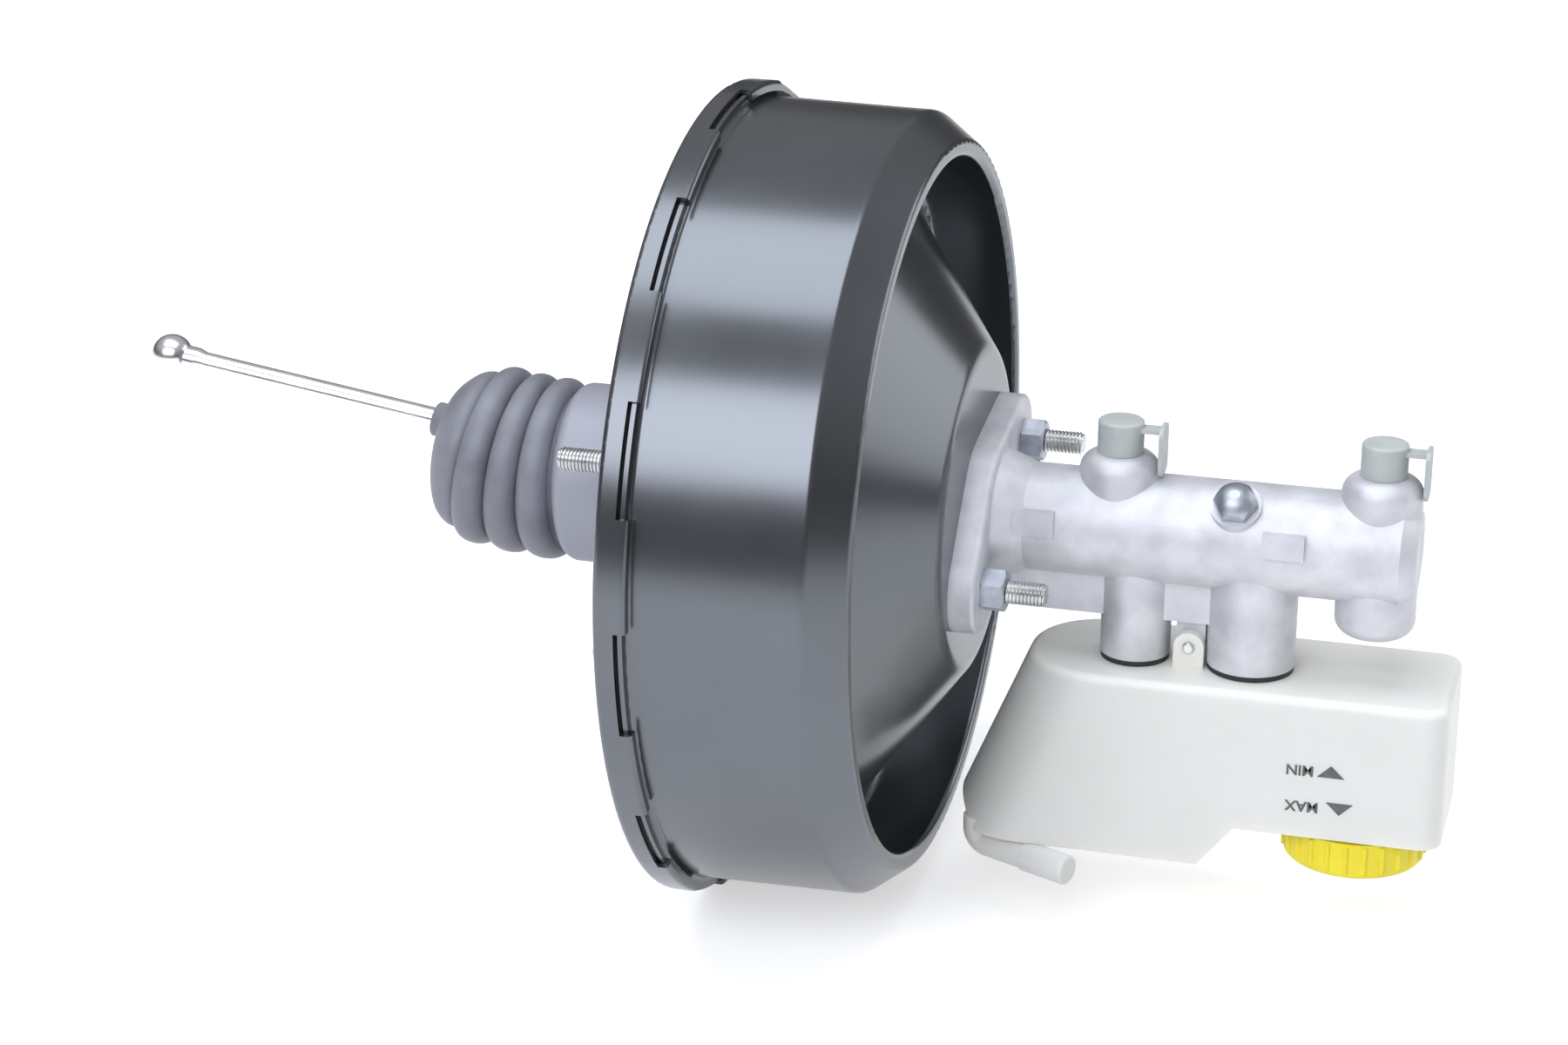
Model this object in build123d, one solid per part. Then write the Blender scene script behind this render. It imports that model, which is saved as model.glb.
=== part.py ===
from build123d import *
from math import atan, cos, pi, radians, sin, sqrt
import os

# Vacuum brake booster with its tandem master cylinder and fluid reservoir, in millimetres.
# +X points forwards, from the pedal to the master cylinder.  The unit lies as it is set down
# on a bench, with the reservoir hanging below the cylinder (-Z), upside down to the car.
# The origin is the centre of the rear mounting face, which bolts to the bulkhead.

# ---- pressed steel drum -------------------------------------------------------------------
SHEET = 1.5                # wall of the two pressings
DRUM_R = 136.1             # outside of the drum, next to the crimp
NOSE_TAPER = 1.1           # how much the drum draws in towards its front corner
NOSE_R = DRUM_R - NOSE_TAPER
NOSE_X = 81.6              # front corner of the drum
NOSE_DROP = 9.6            # height of the sloped nose
RIM_X = 94.2               # front of the rolled rim
RIM_W = 5.5
RIM_OUT_R = NOSE_R - NOSE_DROP
RIM_IN_R = RIM_OUT_R - RIM_W
GROOVE_X = 66.0            # bottom of the deep ring groove behind the rim
GROOVE_DRAFT = 1.9         # how much the groove's outer wall draws in
GROOVE_W = 6.0             # width of the groove's floor
GROOVE_R = RIM_IN_R - GROOVE_DRAFT
CONE_R = GROOVE_R - GROOVE_W
SEAT_X = 107.0             # flat that the master cylinder bolts to
SEAT_R = 55.5              # edge of that flat

CRIMP_X = 15.5             # rear face of the crimped flange
CRIMP_DEPTH = 9.5          # from there to the front face of the front shell's flange
CRIMP_EDGE = 7.1           # from there to the edge of the crimp wall between its tabs
CRIMP_GAP = 0.2            # between the crimp wall and the flange in it
LIP_W = 3.6                # width of the front shell's flange
LIP_X = CRIMP_X + CRIMP_DEPTH
LIP_R = DRUM_R + LIP_W
CRIMP_R = LIP_R + CRIMP_GAP + SHEET
CRIMP_EDGE_X = CRIMP_X + CRIMP_EDGE
DISH_W = 11.4              # from the rear dish to the outside of the crimp
DISH_R = CRIMP_R - DISH_W
TAB_COUNT = 12
TAB_ANGLE = 15.0           # degrees of one bent-over tab
TAB_REACH = 3.6            # how far a tab is folded in over the flange
TAB_GAP = 0.15             # between a tab and the flange under it
REAR_PCD = 125.0
FACE_MARGIN = 13.5         # rear mounting face outside its circle of studs
FACE_R = REAR_PCD / 2 + FACE_MARGIN
NECK_R = 31.6              # tube that reaches back from the mounting face
NECK_X = -38.0             # rear end of that tube
NECK_LIP = 4.6             # how far its end is turned in
NECK_MOUTH_R = NECK_R - NECK_LIP

# ---- rear studs ---------------------------------------------------------------------------
M8_R = 4.0
M8_HOLE_R = 4.2
M8_NECK_R = 4.18           # press-fit neck of a stud, next to its head
M8_NECK_TAPER = 0.08       # how much the neck draws in towards the thread
M8_TIP = 0.8               # chamfer at a stud's tip
M8_NUT_AF = 13.0
M8_NUT_H = 8.0
REAR_TURN = 66.0           # degrees from +Y to the first stud
REAR_STUD_L = 24.0         # how far a stud reaches back
STUD_HEAD_R = 7.0
STUD_HEAD_H = 2.5

# ---- master cylinder ----------------------------------------------------------------------
CYL_BOLT_SPACING = 68.0    # between the two flange studs
CYL_TURN = 30.0            # their line above the horizontal
FLANGE_T = 9.0
FLANGE_LOBE_R = 15.5
STUD_REACH = 13.5          # stud beyond its nut
BACKING_T = 3.0            # stiffening plate inside the front shell
BACKING_R = 50.0
BORE_R = 11.9
CYL_WALL = 6.6
CYL_R = BORE_R + CYL_WALL
CYL_L = 150.0              # from the seat to the front end
ROOT_FLARE = 4.0           # swelling of the barrel at its flange
CYL_ROOT_R = CYL_R + ROOT_FLARE
FLANGE_RING = 4.5          # round part of the flange outside that swelling
FLANGE_HUB_R = CYL_ROOT_R + FLANGE_RING
SPIGOT_STEP = 2.1          # how much the spigot is thicker than the barrel
SPIGOT_R = CYL_R + SPIGOT_STEP
SPIGOT_L = 19.0
SPIGOT_GAP = 0.3           # round the spigot in the drum's hole
BORE_END = 7.0             # wall at the closed end
TOWER_MOUTH_Z = -45.0
REAR_TOWER_X = SEAT_X + 56.0
REAR_TOWER_R = 12.0
FRONT_TOWER_X = SEAT_X + 95.7
FRONT_TOWER_R = 15.0
TOWER_WALL = 3.0
WEB_Z = -31.0
WEB_T = 12.0
REAR_PORT_X = SEAT_X + 48.5
FRONT_PORT_X = SEAT_X + 136.5
PORT_BOSS_R = 13.5
PORT_RISE = 7.5            # outlet bosses above the barrel
PORT_Z = CYL_R + PORT_RISE
PORT_R = 5.0               # M10 outlet thread
PORT_DEPTH = 12.0
PASSAGE_DRILL_R = 1.5      # drillings from the ports and towers into the bore
FRONT_LOBE_DROP = 11.5     # front boss below the barrel
FRONT_LOBE_Z = -CYL_R - FRONT_LOBE_DROP
STOP_SCREW_X = SEAT_X + 90.0
STOP_SCREW_TURN = 50.0     # degrees above the -Y side
STOP_SCREW_R = 3.0
TOWER_DEPTH = 21.0
LUG_T = 7.0                # lug that the reservoir is pinned to
BUSH_WALL = 3.1
BUSH_R = BORE_R + BUSH_WALL  # counterbore for the guide bush
BUSH_DEPTH = 9.0
SEAL_T = 2.6               # square groove of the flange seal
STOP_BITE = 3.9            # how far the screw's tip reaches into the bore
STOP_TIP_R = BORE_R - STOP_BITE
STOP_BOSS_R = 8.5
STOP_BOSS_RISE = 1.5       # its boss above the barrel
STOP_HEAD_AF = 13.0
STOP_HEAD_H = 7.0
STOP_HEAD_DOME = 8.2       # radius of its domed top
PLUG_R = 7.8
PLUG_H = 11.5
PLUG_STEM = 9.0
PLUG_TAB_X = 14.4
PAD_H = 8.5                # raised pads on the barrel's near side
PAD_L = 14.0
PAD_RISE = 1.5
PAD_PLACES = (23.0, 107.0)  # in front of the seat
PRIMARY_X = SEAT_X - 14.0  # rear face of the rear piston
PRIMARY_L = 45.0
PRIMARY_CUP = 17.0         # from that face to its rear cup
SECONDARY_X = SEAT_X + 65.0
SECONDARY_TAIL = 10.0      # front piston beyond the stop screw
RECESS = 8.0
RECESS_R = 7.0
CUP_DEPTH = 3.7
CUP_ROOT_R = BORE_R - CUP_DEPTH
CUP_W = 4.0
CUP_EDGE = 1.5             # land outside the front piston's rear cup
CUP_STEP = 2.5             # land between its front cup and the stop screw's waist
PISTON_WIRE = 1.1
PISTON_SPIGOT_R = 5.2      # centres a piston spring
PISTON_SPIGOT_L = 6.0
PISTON_SPRING_R = 8.4

# ---- strokes and running fits -------------------------------------------------------------
STROKE = 32.0              # power piston and primary piston
SECONDARY_SHARE = 0.45     # secondary piston travel for each millimetre of stroke
RUN = 0.05                 # radial clearance of a running fit
SOFT_GAP = 0.3             # clearance beside a soft part of another body
JOINT_GAP = 0.3            # end clearance between pieces that push each other

# ---- input rod ----------------------------------------------------------------------------
PIVOT_X = 7.0              # ball joint inside the plunger
ROD_TILT = 8.4             # degrees that the rod hangs upwards at rest
ROD_R = 3.8
ROD_BALL_R = 5.0
ROD_HEAD_R = 7.5           # ball that the pedal clips on
ROD_NECK_R = 2.6
BOOT_START_X = NECK_X - 1.7  # front of its folds
BOOT_TILTS = (5.0, 8.0, 11.0, 11.0)  # degrees of its three folds and its end, above the drum's axis
BOOT_PITCH = 11.6
BOOT_R = NECK_R + 0.7
BOOT_RISE = 4.8            # height of a fold
BOOT_VALLEY_R = BOOT_R - BOOT_RISE
BOOT_CREST = 3.0           # flat top of a fold before it is rounded
BOOT_FLANK = 2.9           # slope on each side of it
BOOT_FOLD_BEND = 1.3
BOOT_DOME_R = BOOT_VALLEY_R + 1.5
BOOT_DOME_L = 14.0
BOOT_DOME_BEND = 9.6
BOOT_X = NECK_X - 50.0     # end of the boot, on the rod
BOOT_COLLAR_R = 6.2
BOOT_COLLAR_L = 7.0
BOOT_HOOK = 2.0            # lip behind the neck's turned-in edge
BOOT_WALL = 1.8
ROD_L = 202.0              # from pivot to the centre of that ball

# ---- reservoir ----------------------------------------------------------------------------
TANK_WALL = 2.2
TANK_TOP_Z = TOWER_MOUTH_Z - 2.0
TANK_NEAR_Y = -24.0
TANK_FAR_Y = 32.0
TANK_TOP_X = SEAT_X + 20.0  # rear end at the top, the rear wall leans out below it
TANK_REAR_X = SEAT_X - 3.0
TANK_FRONT_X = SEAT_X + 165.0
TANK_H = 65.0              # height of its rear part
TANK_FRONT_H = 50.0        # height of its front part, over the filler neck
TANK_LOW_Z = TANK_TOP_Z - TANK_H
TANK_STEP_Z = TANK_TOP_Z - TANK_FRONT_H
TANK_STEP_X = SEAT_X + 96.0
TANK_STEP_SLOPE = 12.0
TANK_EDGE = (8.0, 10.0)    # bevel at the low rear edge
TANK_TOP_BEND = 3.0
TANK_REAR_BEND = 26.0      # round rear end, seen from above
TANK_BEND = 8.0
CAP_X = SEAT_X + 134.3
FILLER_R = 19.0
FILLER_L = 10.0
FILLER_LOW_Z = TANK_STEP_Z - FILLER_L
CAP_GAP = 0.4              # round the filler neck, inside the cap
CAP_GRIP = 4.6             # thickness of the cap's skirt
CAP_R = FILLER_R + CAP_GAP + CAP_GRIP
CAP_H = 13.0
CAP_DROP = 4.0             # cap below the mouth of the filler neck
CAP_LOW_Z = FILLER_LOW_Z - CAP_DROP
CAP_WALL = 2.4
CAP_RIBS = 24
CAP_RIB_R = 0.9
CAP_SEAL_T = 1.2
SEAL_GAP = 0.1             # between the seal and the mouth of the filler neck
SEAL_Z = FILLER_LOW_Z - SEAL_GAP - CAP_SEAL_T  # underside of the cap seal's rim
SEAL_PLUG_R = 10.0         # raised middle of the cap seal
SEAL_PLUG_H = 4.5
STRAINER_L = 24.0
STRAINER_T = 1.2
STRAINER_SLOT = 3.0
REAR_NIPPLE_R = 6.4
FRONT_NIPPLE_R = 8.6
NIPPLE_L = 16.0            # how far a nipple reaches into its tower
GROMMET_L = 11.0
EAR_T = 4.0
EAR_GAP = 0.3
EAR_W = 10.4
HOSE_R = 4.8               # bend of the hose nozzle
HOSE_TIP_R = 3.6           # its straight end, under the transit cap
HOSE_BARB_R = 4.2
HOSE_BORE_R = 2.2
NOZZLE_CAP_L = 16.0
NOZZLE_CAP_R = 5.3
HOSE_BARBS = (4.0, 8.5)    # back from the tip
HOSE_DROP = 5.5            # hose nozzle below the tank's floor
HOSE_Z = TANK_LOW_Z - HOSE_DROP
HOSE_BEND = (SEAT_X + 5.0, TANK_NEAR_Y + 10.0)
HOSE_END = (SEAT_X + 39.0, TANK_NEAR_Y - 5.0)
HOSE_BEND_R = 5.0          # of the nozzle's middle line
PIN_X = SEAT_X + 75.5
PIN_Z = TOWER_MOUTH_Z + 5.5
PIN_R = 2.0

# ---- power piston -------------------------------------------------------------------------
RUBBER = 2.0               # diaphragm wall
FOLD_GAP = 0.7             # between the diaphragm's outer layer and the drum
FOLD_W = 11.6              # inside width of its rolling fold
FOLD_R = DRUM_R - SHEET - RUBBER - FOLD_GAP
PLATE_R = FOLD_R - FOLD_W - RUBBER - SOFT_GAP
PLATE_LIP_X = 30.0
PLATE_X = 7.3              # rear face of the diaphragm plate
PLATE_DISH_X = 19.8        # where its dish meets its lip
DISH_X = PLATE_DISH_X - 1.8  # the same corner of the diaphragm
FOLD_X = 41.0              # front of the diaphragm's rolling fold
BEAD_GAP = 0.35            # round the bead held in the crimp
BEAD_WIRE = CRIMP_DEPTH / 2 - SHEET - BEAD_GAP
BEAD_X = CRIMP_X + CRIMP_DEPTH / 2
BEAD_R = CRIMP_R - SHEET - BEAD_WIRE - BEAD_GAP
TUBE_R = 22.0              # sliding tube of the valve body
TUBE_WALL = 3.0
TUBE_BORE_R = TUBE_R - TUBE_WALL
TUBE_X = NECK_X - 16.0     # its rear end, still in the seal at full stroke
HUB_STEP = 7.7
HUB_R = TUBE_R + HUB_STEP
HUB_X = 3.0
HUB_FLANGE_W = 6.3
HUB_FLANGE_R = HUB_R + HUB_FLANGE_W
HUB_FLANGE_T = 4.0
PASSAGE_BORE_R = 1.8
SEAT_RING_R = 12.0
SEAT_RING_X = -5.8
POPPET_X = -6.3
KEY_X = 18.0
KEY_T = 2.0
KEY_HALF_W = 6.8
WAIST_R = 5.2
PLUNGER_X = -6.0
PLUNGER_MOUTH_R = 6.4
SOCKET_LIP_R = 4.6
REACTION_T = 6.0
SEAL_X = NECK_X + 17.8     # rear face of the neck seal
SEAL_L = 8.0
BEARING_L = 9.0
FILTER_L = 12.5
FILTER_R = 15.0            # hole in the air filter
SILENCER_L = 3.0
SILENCER_R = 13.6
NOSE_TUBE_R = 17.0
PASSAGE_R = NOSE_TUBE_R + PASSAGE_BORE_R + 0.4  # pitch radius of the two vacuum passages
NOSE_TUBE_X = 36.0
NOSE_WALL = 3.95
REACTION_R = NOSE_TUBE_R - NOSE_WALL
REACTION_X = 28.0
POPPET_BORE_R = 7.0
POPPET_R = 14.0            # face of the control valve
POPPET_WALL = 1.5
POPPET_L = 17.0
PLUNGER_R = 8.0
PLUNGER_TRAVEL = 1.6
OUTPUT_R = 5.5
OUTPUT_HEAD_T = 3.0
RETAINER_L = 7.0           # how far the retainer reaches back over the nose
SPRING_R = 24.5
SPRING_WIRE = 1.6

# ---- check valve --------------------------------------------------------------------------
TURRET_R = 16.0
TURRET_X = SEAT_X - 11.0
VALVE_TURN = -10.0         # degrees from +Y
VALVE_OFFSET = 17.34       # its axis, out from the cone at the turret's face
CONE_SLOPE = (CONE_R - SEAT_R) / (SEAT_X - GROOVE_X)
VALVE_PITCH_R = SEAT_R + CONE_SLOPE * (SEAT_X - TURRET_X) + VALVE_OFFSET
VALVE_HOLE_R = 11.0
VALVE_NOZZLE_R = 5.0
VALVE_NOZZLE_BORE_R = 3.2
VALVE_NOZZLE_L = 19.1      # from its collar to its tip
VALVE_COLLAR_R = 5.4       # stop for the hose
VALVE_COLLAR_DROP = 13.6   # the collar's face, out from the chamber's axis
VALVE_STUB_R = 7.1
VALVE_STUB_BORE_R = 5.0
VALVE_FLANGE_R = 11.0
VALVE_CHAMBER_R = 9.5
VALVE_SEAT_X = TURRET_X + 5.0
VALVE_TOP_X = TURRET_X + 13.0
VALVE_DISC_R = 6.8
VALVE_DISC_T = 1.2


def turned(*profile):
    """A solid turned round the X axis, from a closed profile of (x, radius) points."""
    return revolve(make_face(Polyline(*profile, close=True).edges()), axis=Axis.X)


def wall_section(outline, bends, wall):
    """Section of a bent wall: one side follows the outline, the wall lies to its right."""
    skin = FilletPolyline(*outline, radius=bends)
    way = skin % 0
    beside = skin @ 0 + (way + Vector(way.Y, -way.X)) * (wall / 2)
    section = make_face(offset(skin, wall, side=Side.RIGHT, closed=True).edges())
    if section.is_inside(beside):
        return section
    return make_face(offset(skin, wall, side=Side.LEFT, closed=True).edges())


def pressing(outline, bends):
    """Sheet metal of revolution: its outer surface follows the outline, the wall lies inside."""
    return revolve(wall_section(outline, bends, SHEET), axis=Axis.X)


def bar(radius, x_from, x_to, y=0.0, z=0.0):
    """A round bar along X."""
    turn = Pos(x_from, y, z) * Rot(0, 90, 0)
    return turn * Cylinder(radius, x_to - x_from, align=(Align.CENTER, Align.CENTER, Align.MIN))


def post(radius, z_from, z_to, x, y=0.0):
    """A round bar along Z."""
    return Pos(x, y, z_from) * Cylinder(radius, z_to - z_from, align=(Align.CENTER, Align.CENTER, Align.MIN))


def around(radius, angle):
    """(y, z) of a point at an angle from +Y, seen along the X axis."""
    return radius * cos(radians(angle)), radius * sin(radians(angle))


def coil(x_from, x_to, radius_from, radius_to, wire, turns):
    """A compression spring with one closed turn at each end, as half turns that meet tangentially."""
    closed = 2.1 * wire
    free = (x_to - x_from - 2 * wire - 2 * closed) / (turns - 2)
    x = x_from + wire
    halves = 2 * turns
    spring = None
    for half in range(halves):
        pitch = closed if half < 2 or half >= halves - 2 else free
        side = 1 if half % 2 == 0 else -1
        r_start = radius_from + (radius_to - radius_from) * half / halves
        r_end = radius_from + (radius_to - radius_from) * (half + 1) / halves
        start = Vector(x, 0, side * r_start)
        end = Vector(x + pitch / 2, 0, -side * r_end)
        axis = Axis((start + end) * 0.5, (end - start).cross(Vector(0, 1, 0)))
        section = Plane(start, x_dir=(1, 0, 0), z_dir=(0, 1, 0)) * Circle(wire)
        arc = revolve(section, axis=axis, revolution_arc=180)
        arc = arc if arc.center().Y * side > 0 else revolve(section, axis=axis, revolution_arc=-180)
        spring = arc if spring is None else spring + arc
        x += pitch / 2
    return spring


def save(solid, node):
    """Write one sub-part."""
    export_step(solid, f"parts/{node}.step")


# ---- drum -----------------------------------------------------------------------------------

def valve_place():
    """(y, z) of the check valve on the front cone."""
    return around(VALVE_PITCH_R, VALVE_TURN)


def cylinder_bolts():
    """(y, z) of the two studs that carry the master cylinder."""
    return [around(CYL_BOLT_SPACING / 2, CYL_TURN + half) for half in (0, 180)]


def rear_bolts():
    """(y, z) of the four studs in the rear mounting face."""
    return [around(REAR_PCD / 2, REAR_TURN + 90 * quarter) for quarter in range(4)]


def front_shell():
    """Deep-drawn front half: flange, drum, sloped nose, rolled rim, ring groove, cone and seat."""
    outline = [
        (LIP_X, LIP_R), (LIP_X, DRUM_R), (NOSE_X, NOSE_R), (RIM_X, RIM_OUT_R), (RIM_X, RIM_IN_R),
        (GROOVE_X, GROOVE_R), (GROOVE_X, CONE_R), (SEAT_X, SEAT_R), (SEAT_X, SPIGOT_R + SPIGOT_GAP),
    ]
    shell = pressing(outline, [2.0, 4.0, 2.2, 2.2, 2.5, 2.5, 8.0])
    y, z = valve_place()
    turret = bar(TURRET_R, GROOVE_X, TURRET_X, y, z)
    turret = fillet(turret.edges().group_by(Axis.X)[-1], 3.0)
    hollow = bar(TURRET_R - SHEET, GROOVE_X - SHEET, TURRET_X - SHEET, y, z)
    half = SHEET / 2
    cone = turned(
        (GROOVE_X - half, 0), (GROOVE_X - half, CONE_R), (SEAT_X - half, SEAT_R), (SEAT_X - half, 0)
    )
    shell = shell - hollow + (turret - hollow - cone)
    shell -= bar(VALVE_HOLE_R, GROOVE_X, TURRET_X + 1, y, z)
    for y, z in cylinder_bolts():
        shell -= bar(M8_HOLE_R, SEAT_X - 2 * SHEET, SEAT_X + SHEET, y, z)
    return shell


def rear_shell():
    """Rear half: neck, flat mounting face, dish, and a crimp with tabs folded over the front flange."""
    fold_x = LIP_X + TAB_GAP + SHEET
    outline = [
        (NECK_X, NECK_MOUTH_R), (NECK_X, NECK_R), (0, NECK_R), (0, FACE_R),
        (CRIMP_X, DISH_R), (CRIMP_X, CRIMP_R), (fold_x, CRIMP_R), (fold_x, CRIMP_R - TAB_REACH),
    ]
    shell = pressing(outline, [4.0, 3.0, 6.0, 6.0, 2.0, 1.8])
    pitch = 360 / TAB_COUNT
    notch = [
        (CRIMP_EDGE_X, CRIMP_R - 2 * TAB_REACH), (CRIMP_EDGE_X, CRIMP_R + 1),
        (fold_x + 1, CRIMP_R + 1), (fold_x + 1, CRIMP_R - 2 * TAB_REACH),
    ]
    section = make_face(Polyline(*notch, close=True).edges())
    gap = revolve(section, axis=Axis.X, revolution_arc=pitch - TAB_ANGLE)
    for index in range(TAB_COUNT):
        shell -= Rot(index * pitch, 0, 0) * gap
    for y, z in rear_bolts():
        shell -= bar(M8_HOLE_R, -SHEET, 2 * SHEET, y, z)
    return shell


def stud(plate, reach):
    """An M8 stud along X: head and pressed-in neck in a plate of that thickness up to 0, then thread."""
    head = bar(STUD_HEAD_R, -plate - STUD_HEAD_H, -plate)
    neck = turned((-plate, 0), (-plate, M8_NECK_R), (0, M8_NECK_R - M8_NECK_TAPER), (0, 0))
    shank = bar(M8_R, 0, reach)
    shank = chamfer(shank.edges().group_by(Axis.X)[-1], M8_TIP)
    return head + neck + shank


def rear_mounting_studs():
    """Four studs through the rear face, for the bulkhead."""
    blank = Rot(0, 180, 0) * stud(SHEET, REAR_STUD_L)
    return Compound(children=[Pos(0, y, z) * blank for y, z in rear_bolts()])


def stud_plate():
    """Stiffening plate behind the cylinder seat, which holds its two studs."""
    x_front = SEAT_X - SHEET
    plate = bar(BACKING_R, x_front - BACKING_T, x_front)
    plate -= bar(SPIGOT_R + SPIGOT_GAP, x_front - 2 * BACKING_T, x_front + 1)
    for y, z in cylinder_bolts():
        plate -= bar(M8_HOLE_R, x_front - 2 * BACKING_T, x_front + 1, y, z)
    return plate


def cylinder_studs():
    """Two studs that carry the master cylinder."""
    plate = SHEET + BACKING_T
    reach = FLANGE_T + M8_NUT_H + STUD_REACH
    blank = stud(plate, reach)
    return Compound(children=[Pos(SEAT_X, y, z) * blank for y, z in cylinder_bolts()])


def cylinder_nuts():
    """Two hexagon nuts with chamfered corners."""
    nuts = []
    corner = M8_NUT_AF / sqrt(3)
    for y, z in cylinder_bolts():
        blank = Pos(SEAT_X + FLANGE_T, y, z) * Rot(0, 90, 0) * extrude(RegularPolygon(corner, 6), M8_NUT_H)
        start = SEAT_X + FLANGE_T
        cone = Pos(start, y, z) * turned(
            (0, 0), (0, corner - 0.6), (0.6, corner + 0.1), (M8_NUT_H - 0.9, corner + 0.1),
            (M8_NUT_H, corner - 1.2), (M8_NUT_H, 0),
        )
        nuts.append((blank & cone) - bar(M8_R + 0.1, start - 1, start + M8_NUT_H + 1, y, z))
    return Compound(children=nuts)


# ---- master cylinder ------------------------------------------------------------------------

def mounting_flange():
    """Two-lobed flange of the cylinder."""
    lobes = [Pos(y, z) * Circle(FLANGE_LOBE_R) for y, z in cylinder_bolts()]
    outline = make_hull((lobes[0] + lobes[1] + Circle(FLANGE_HUB_R)).edges())
    plane = Plane((SEAT_X, 0, 0), x_dir=(0, 1, 0), z_dir=(1, 0, 0))
    flange = extrude(plane * outline, FLANGE_T)
    flange = fillet(flange.edges().group_by(Axis.X)[-1], 1.5)
    for y, z in cylinder_bolts():
        flange -= bar(M8_HOLE_R, SEAT_X - 1, SEAT_X + FLANGE_T + 1, y, z)
    return flange


def stop_screw_place(radius):
    """Place of the piston stop screw, at a radius out from the bore axis, pointing outwards."""
    y, z = around(radius, 180 - STOP_SCREW_TURN)
    return Plane((STOP_SCREW_X, y, z), x_dir=(1, 0, 0), z_dir=(0, *around(1, 180 - STOP_SCREW_TURN)))


def master_cylinder_body():
    """Cast body: spigot, flange, barrel, two outlet bosses on top, two reservoir towers below."""
    front_x = SEAT_X + CYL_L
    face_x = SEAT_X + FLANGE_T
    barrel = turned(
        (SEAT_X - SPIGOT_L, 0), (SEAT_X - SPIGOT_L, SPIGOT_R - 1), (SEAT_X - SPIGOT_L + 1, SPIGOT_R),
        (SEAT_X, SPIGOT_R), (face_x, CYL_ROOT_R), (face_x + 10, CYL_R), (front_x - 5, CYL_R),
        (front_x, CYL_R - 5), (front_x, 0),
    )
    rear_boss = fillet(post(PORT_BOSS_R, 0, PORT_Z, REAR_PORT_X).edges().group_by(Axis.Z)[-1], 6.0)
    front_boss = post(PORT_BOSS_R, FRONT_LOBE_Z, PORT_Z, FRONT_PORT_X)
    front_boss = fillet(front_boss.edges().group_by(Axis.Z)[-1], 6.0)
    front_boss = fillet(front_boss.edges().group_by(Axis.Z)[0], 6.0)
    rear_tower = post(REAR_TOWER_R, TOWER_MOUTH_Z, 0, REAR_TOWER_X)
    front_tower = post(FRONT_TOWER_R, TOWER_MOUTH_Z, 0, FRONT_TOWER_X)
    web_l = FRONT_TOWER_X - face_x
    web = Pos(face_x + web_l / 2 - 0.5, 0, WEB_Z / 2) * Box(web_l + 1, WEB_T, -WEB_Z)
    lug = Pos(PIN_X, 0, PIN_Z / 2) * Box(10, LUG_T, -PIN_Z)
    lug += Pos(PIN_X, 0, PIN_Z) * Rot(90, 0, 0) * Cylinder(5, LUG_T)
    screw_boss_l = CYL_R + STOP_BOSS_RISE - BORE_R - 1
    screw_boss = extrude(stop_screw_place(BORE_R + 1) * Circle(STOP_BOSS_R), screw_boss_l)
    body = barrel + mounting_flange() + rear_boss + front_boss + rear_tower + front_tower
    body = body + web + lug + screw_boss
    for place in PAD_PLACES:
        body += Pos(SEAT_X + place, -(CYL_R + PAD_RISE) / 2, PAD_H / 2) * Box(PAD_L, CYL_R + PAD_RISE, PAD_H)
    body -= bar(BORE_R, SEAT_X - SPIGOT_L - 1, front_x - BORE_END)
    body -= bar(BUSH_R, SEAT_X - SPIGOT_L - 1, SEAT_X - SPIGOT_L + BUSH_DEPTH)
    body -= turned(
        (SEAT_X - 1, 0), (SEAT_X - 1, SPIGOT_R + SEAL_T), (SEAT_X + SEAL_T, SPIGOT_R + SEAL_T),
        (SEAT_X + SEAL_T, 0)
    ) - bar(SPIGOT_R, SEAT_X - 2, SEAT_X + SEAL_T + 1)
    for x, radius in ((REAR_TOWER_X, REAR_TOWER_R), (FRONT_TOWER_X, FRONT_TOWER_R)):
        body -= post(radius - TOWER_WALL, TOWER_MOUTH_Z - 1, TOWER_MOUTH_Z + TOWER_DEPTH, x)
        body -= post(PASSAGE_DRILL_R, TOWER_MOUTH_Z, 0, x)
    for x in (REAR_PORT_X, FRONT_PORT_X):
        body -= post(PORT_R, PORT_Z - PORT_DEPTH, PORT_Z + 1, x)
        body -= post(PASSAGE_DRILL_R, 0, PORT_Z, x)
    body -= extrude(stop_screw_place(0) * Circle(STOP_SCREW_R + 0.05), CYL_R + 5)
    body -= Pos(PIN_X, 0, PIN_Z) * Rot(90, 0, 0) * Cylinder(PIN_R + 0.05, LUG_T + 2)
    return body


def outlet_port_plugs():
    """Two moulded transit plugs in the outlet ports, each with a pull tab on its front side."""
    plugs = []
    for x in (REAR_PORT_X, FRONT_PORT_X):
        stem = post(PORT_R - 0.05, PORT_Z - PLUG_STEM, PORT_Z + 0.1, x)
        cap = post(PLUG_R, PORT_Z + 0.1, PORT_Z + PLUG_H, x)
        cap = fillet(cap.edges().group_by(Axis.Z)[-1], 1.2)
        strap = Pos(x + PLUG_TAB_X / 2, 0, PORT_Z + PLUG_H - 3) * Box(PLUG_TAB_X, 6, 1.4)
        tab = Pos(x + PLUG_TAB_X, 0, PORT_Z + 2) * Box(1.4, 12, 17)
        plugs.append(cap + stem + strap + fillet(tab.edges().filter_by(Axis.X), 3.0))
    return Compound(children=plugs)


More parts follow.
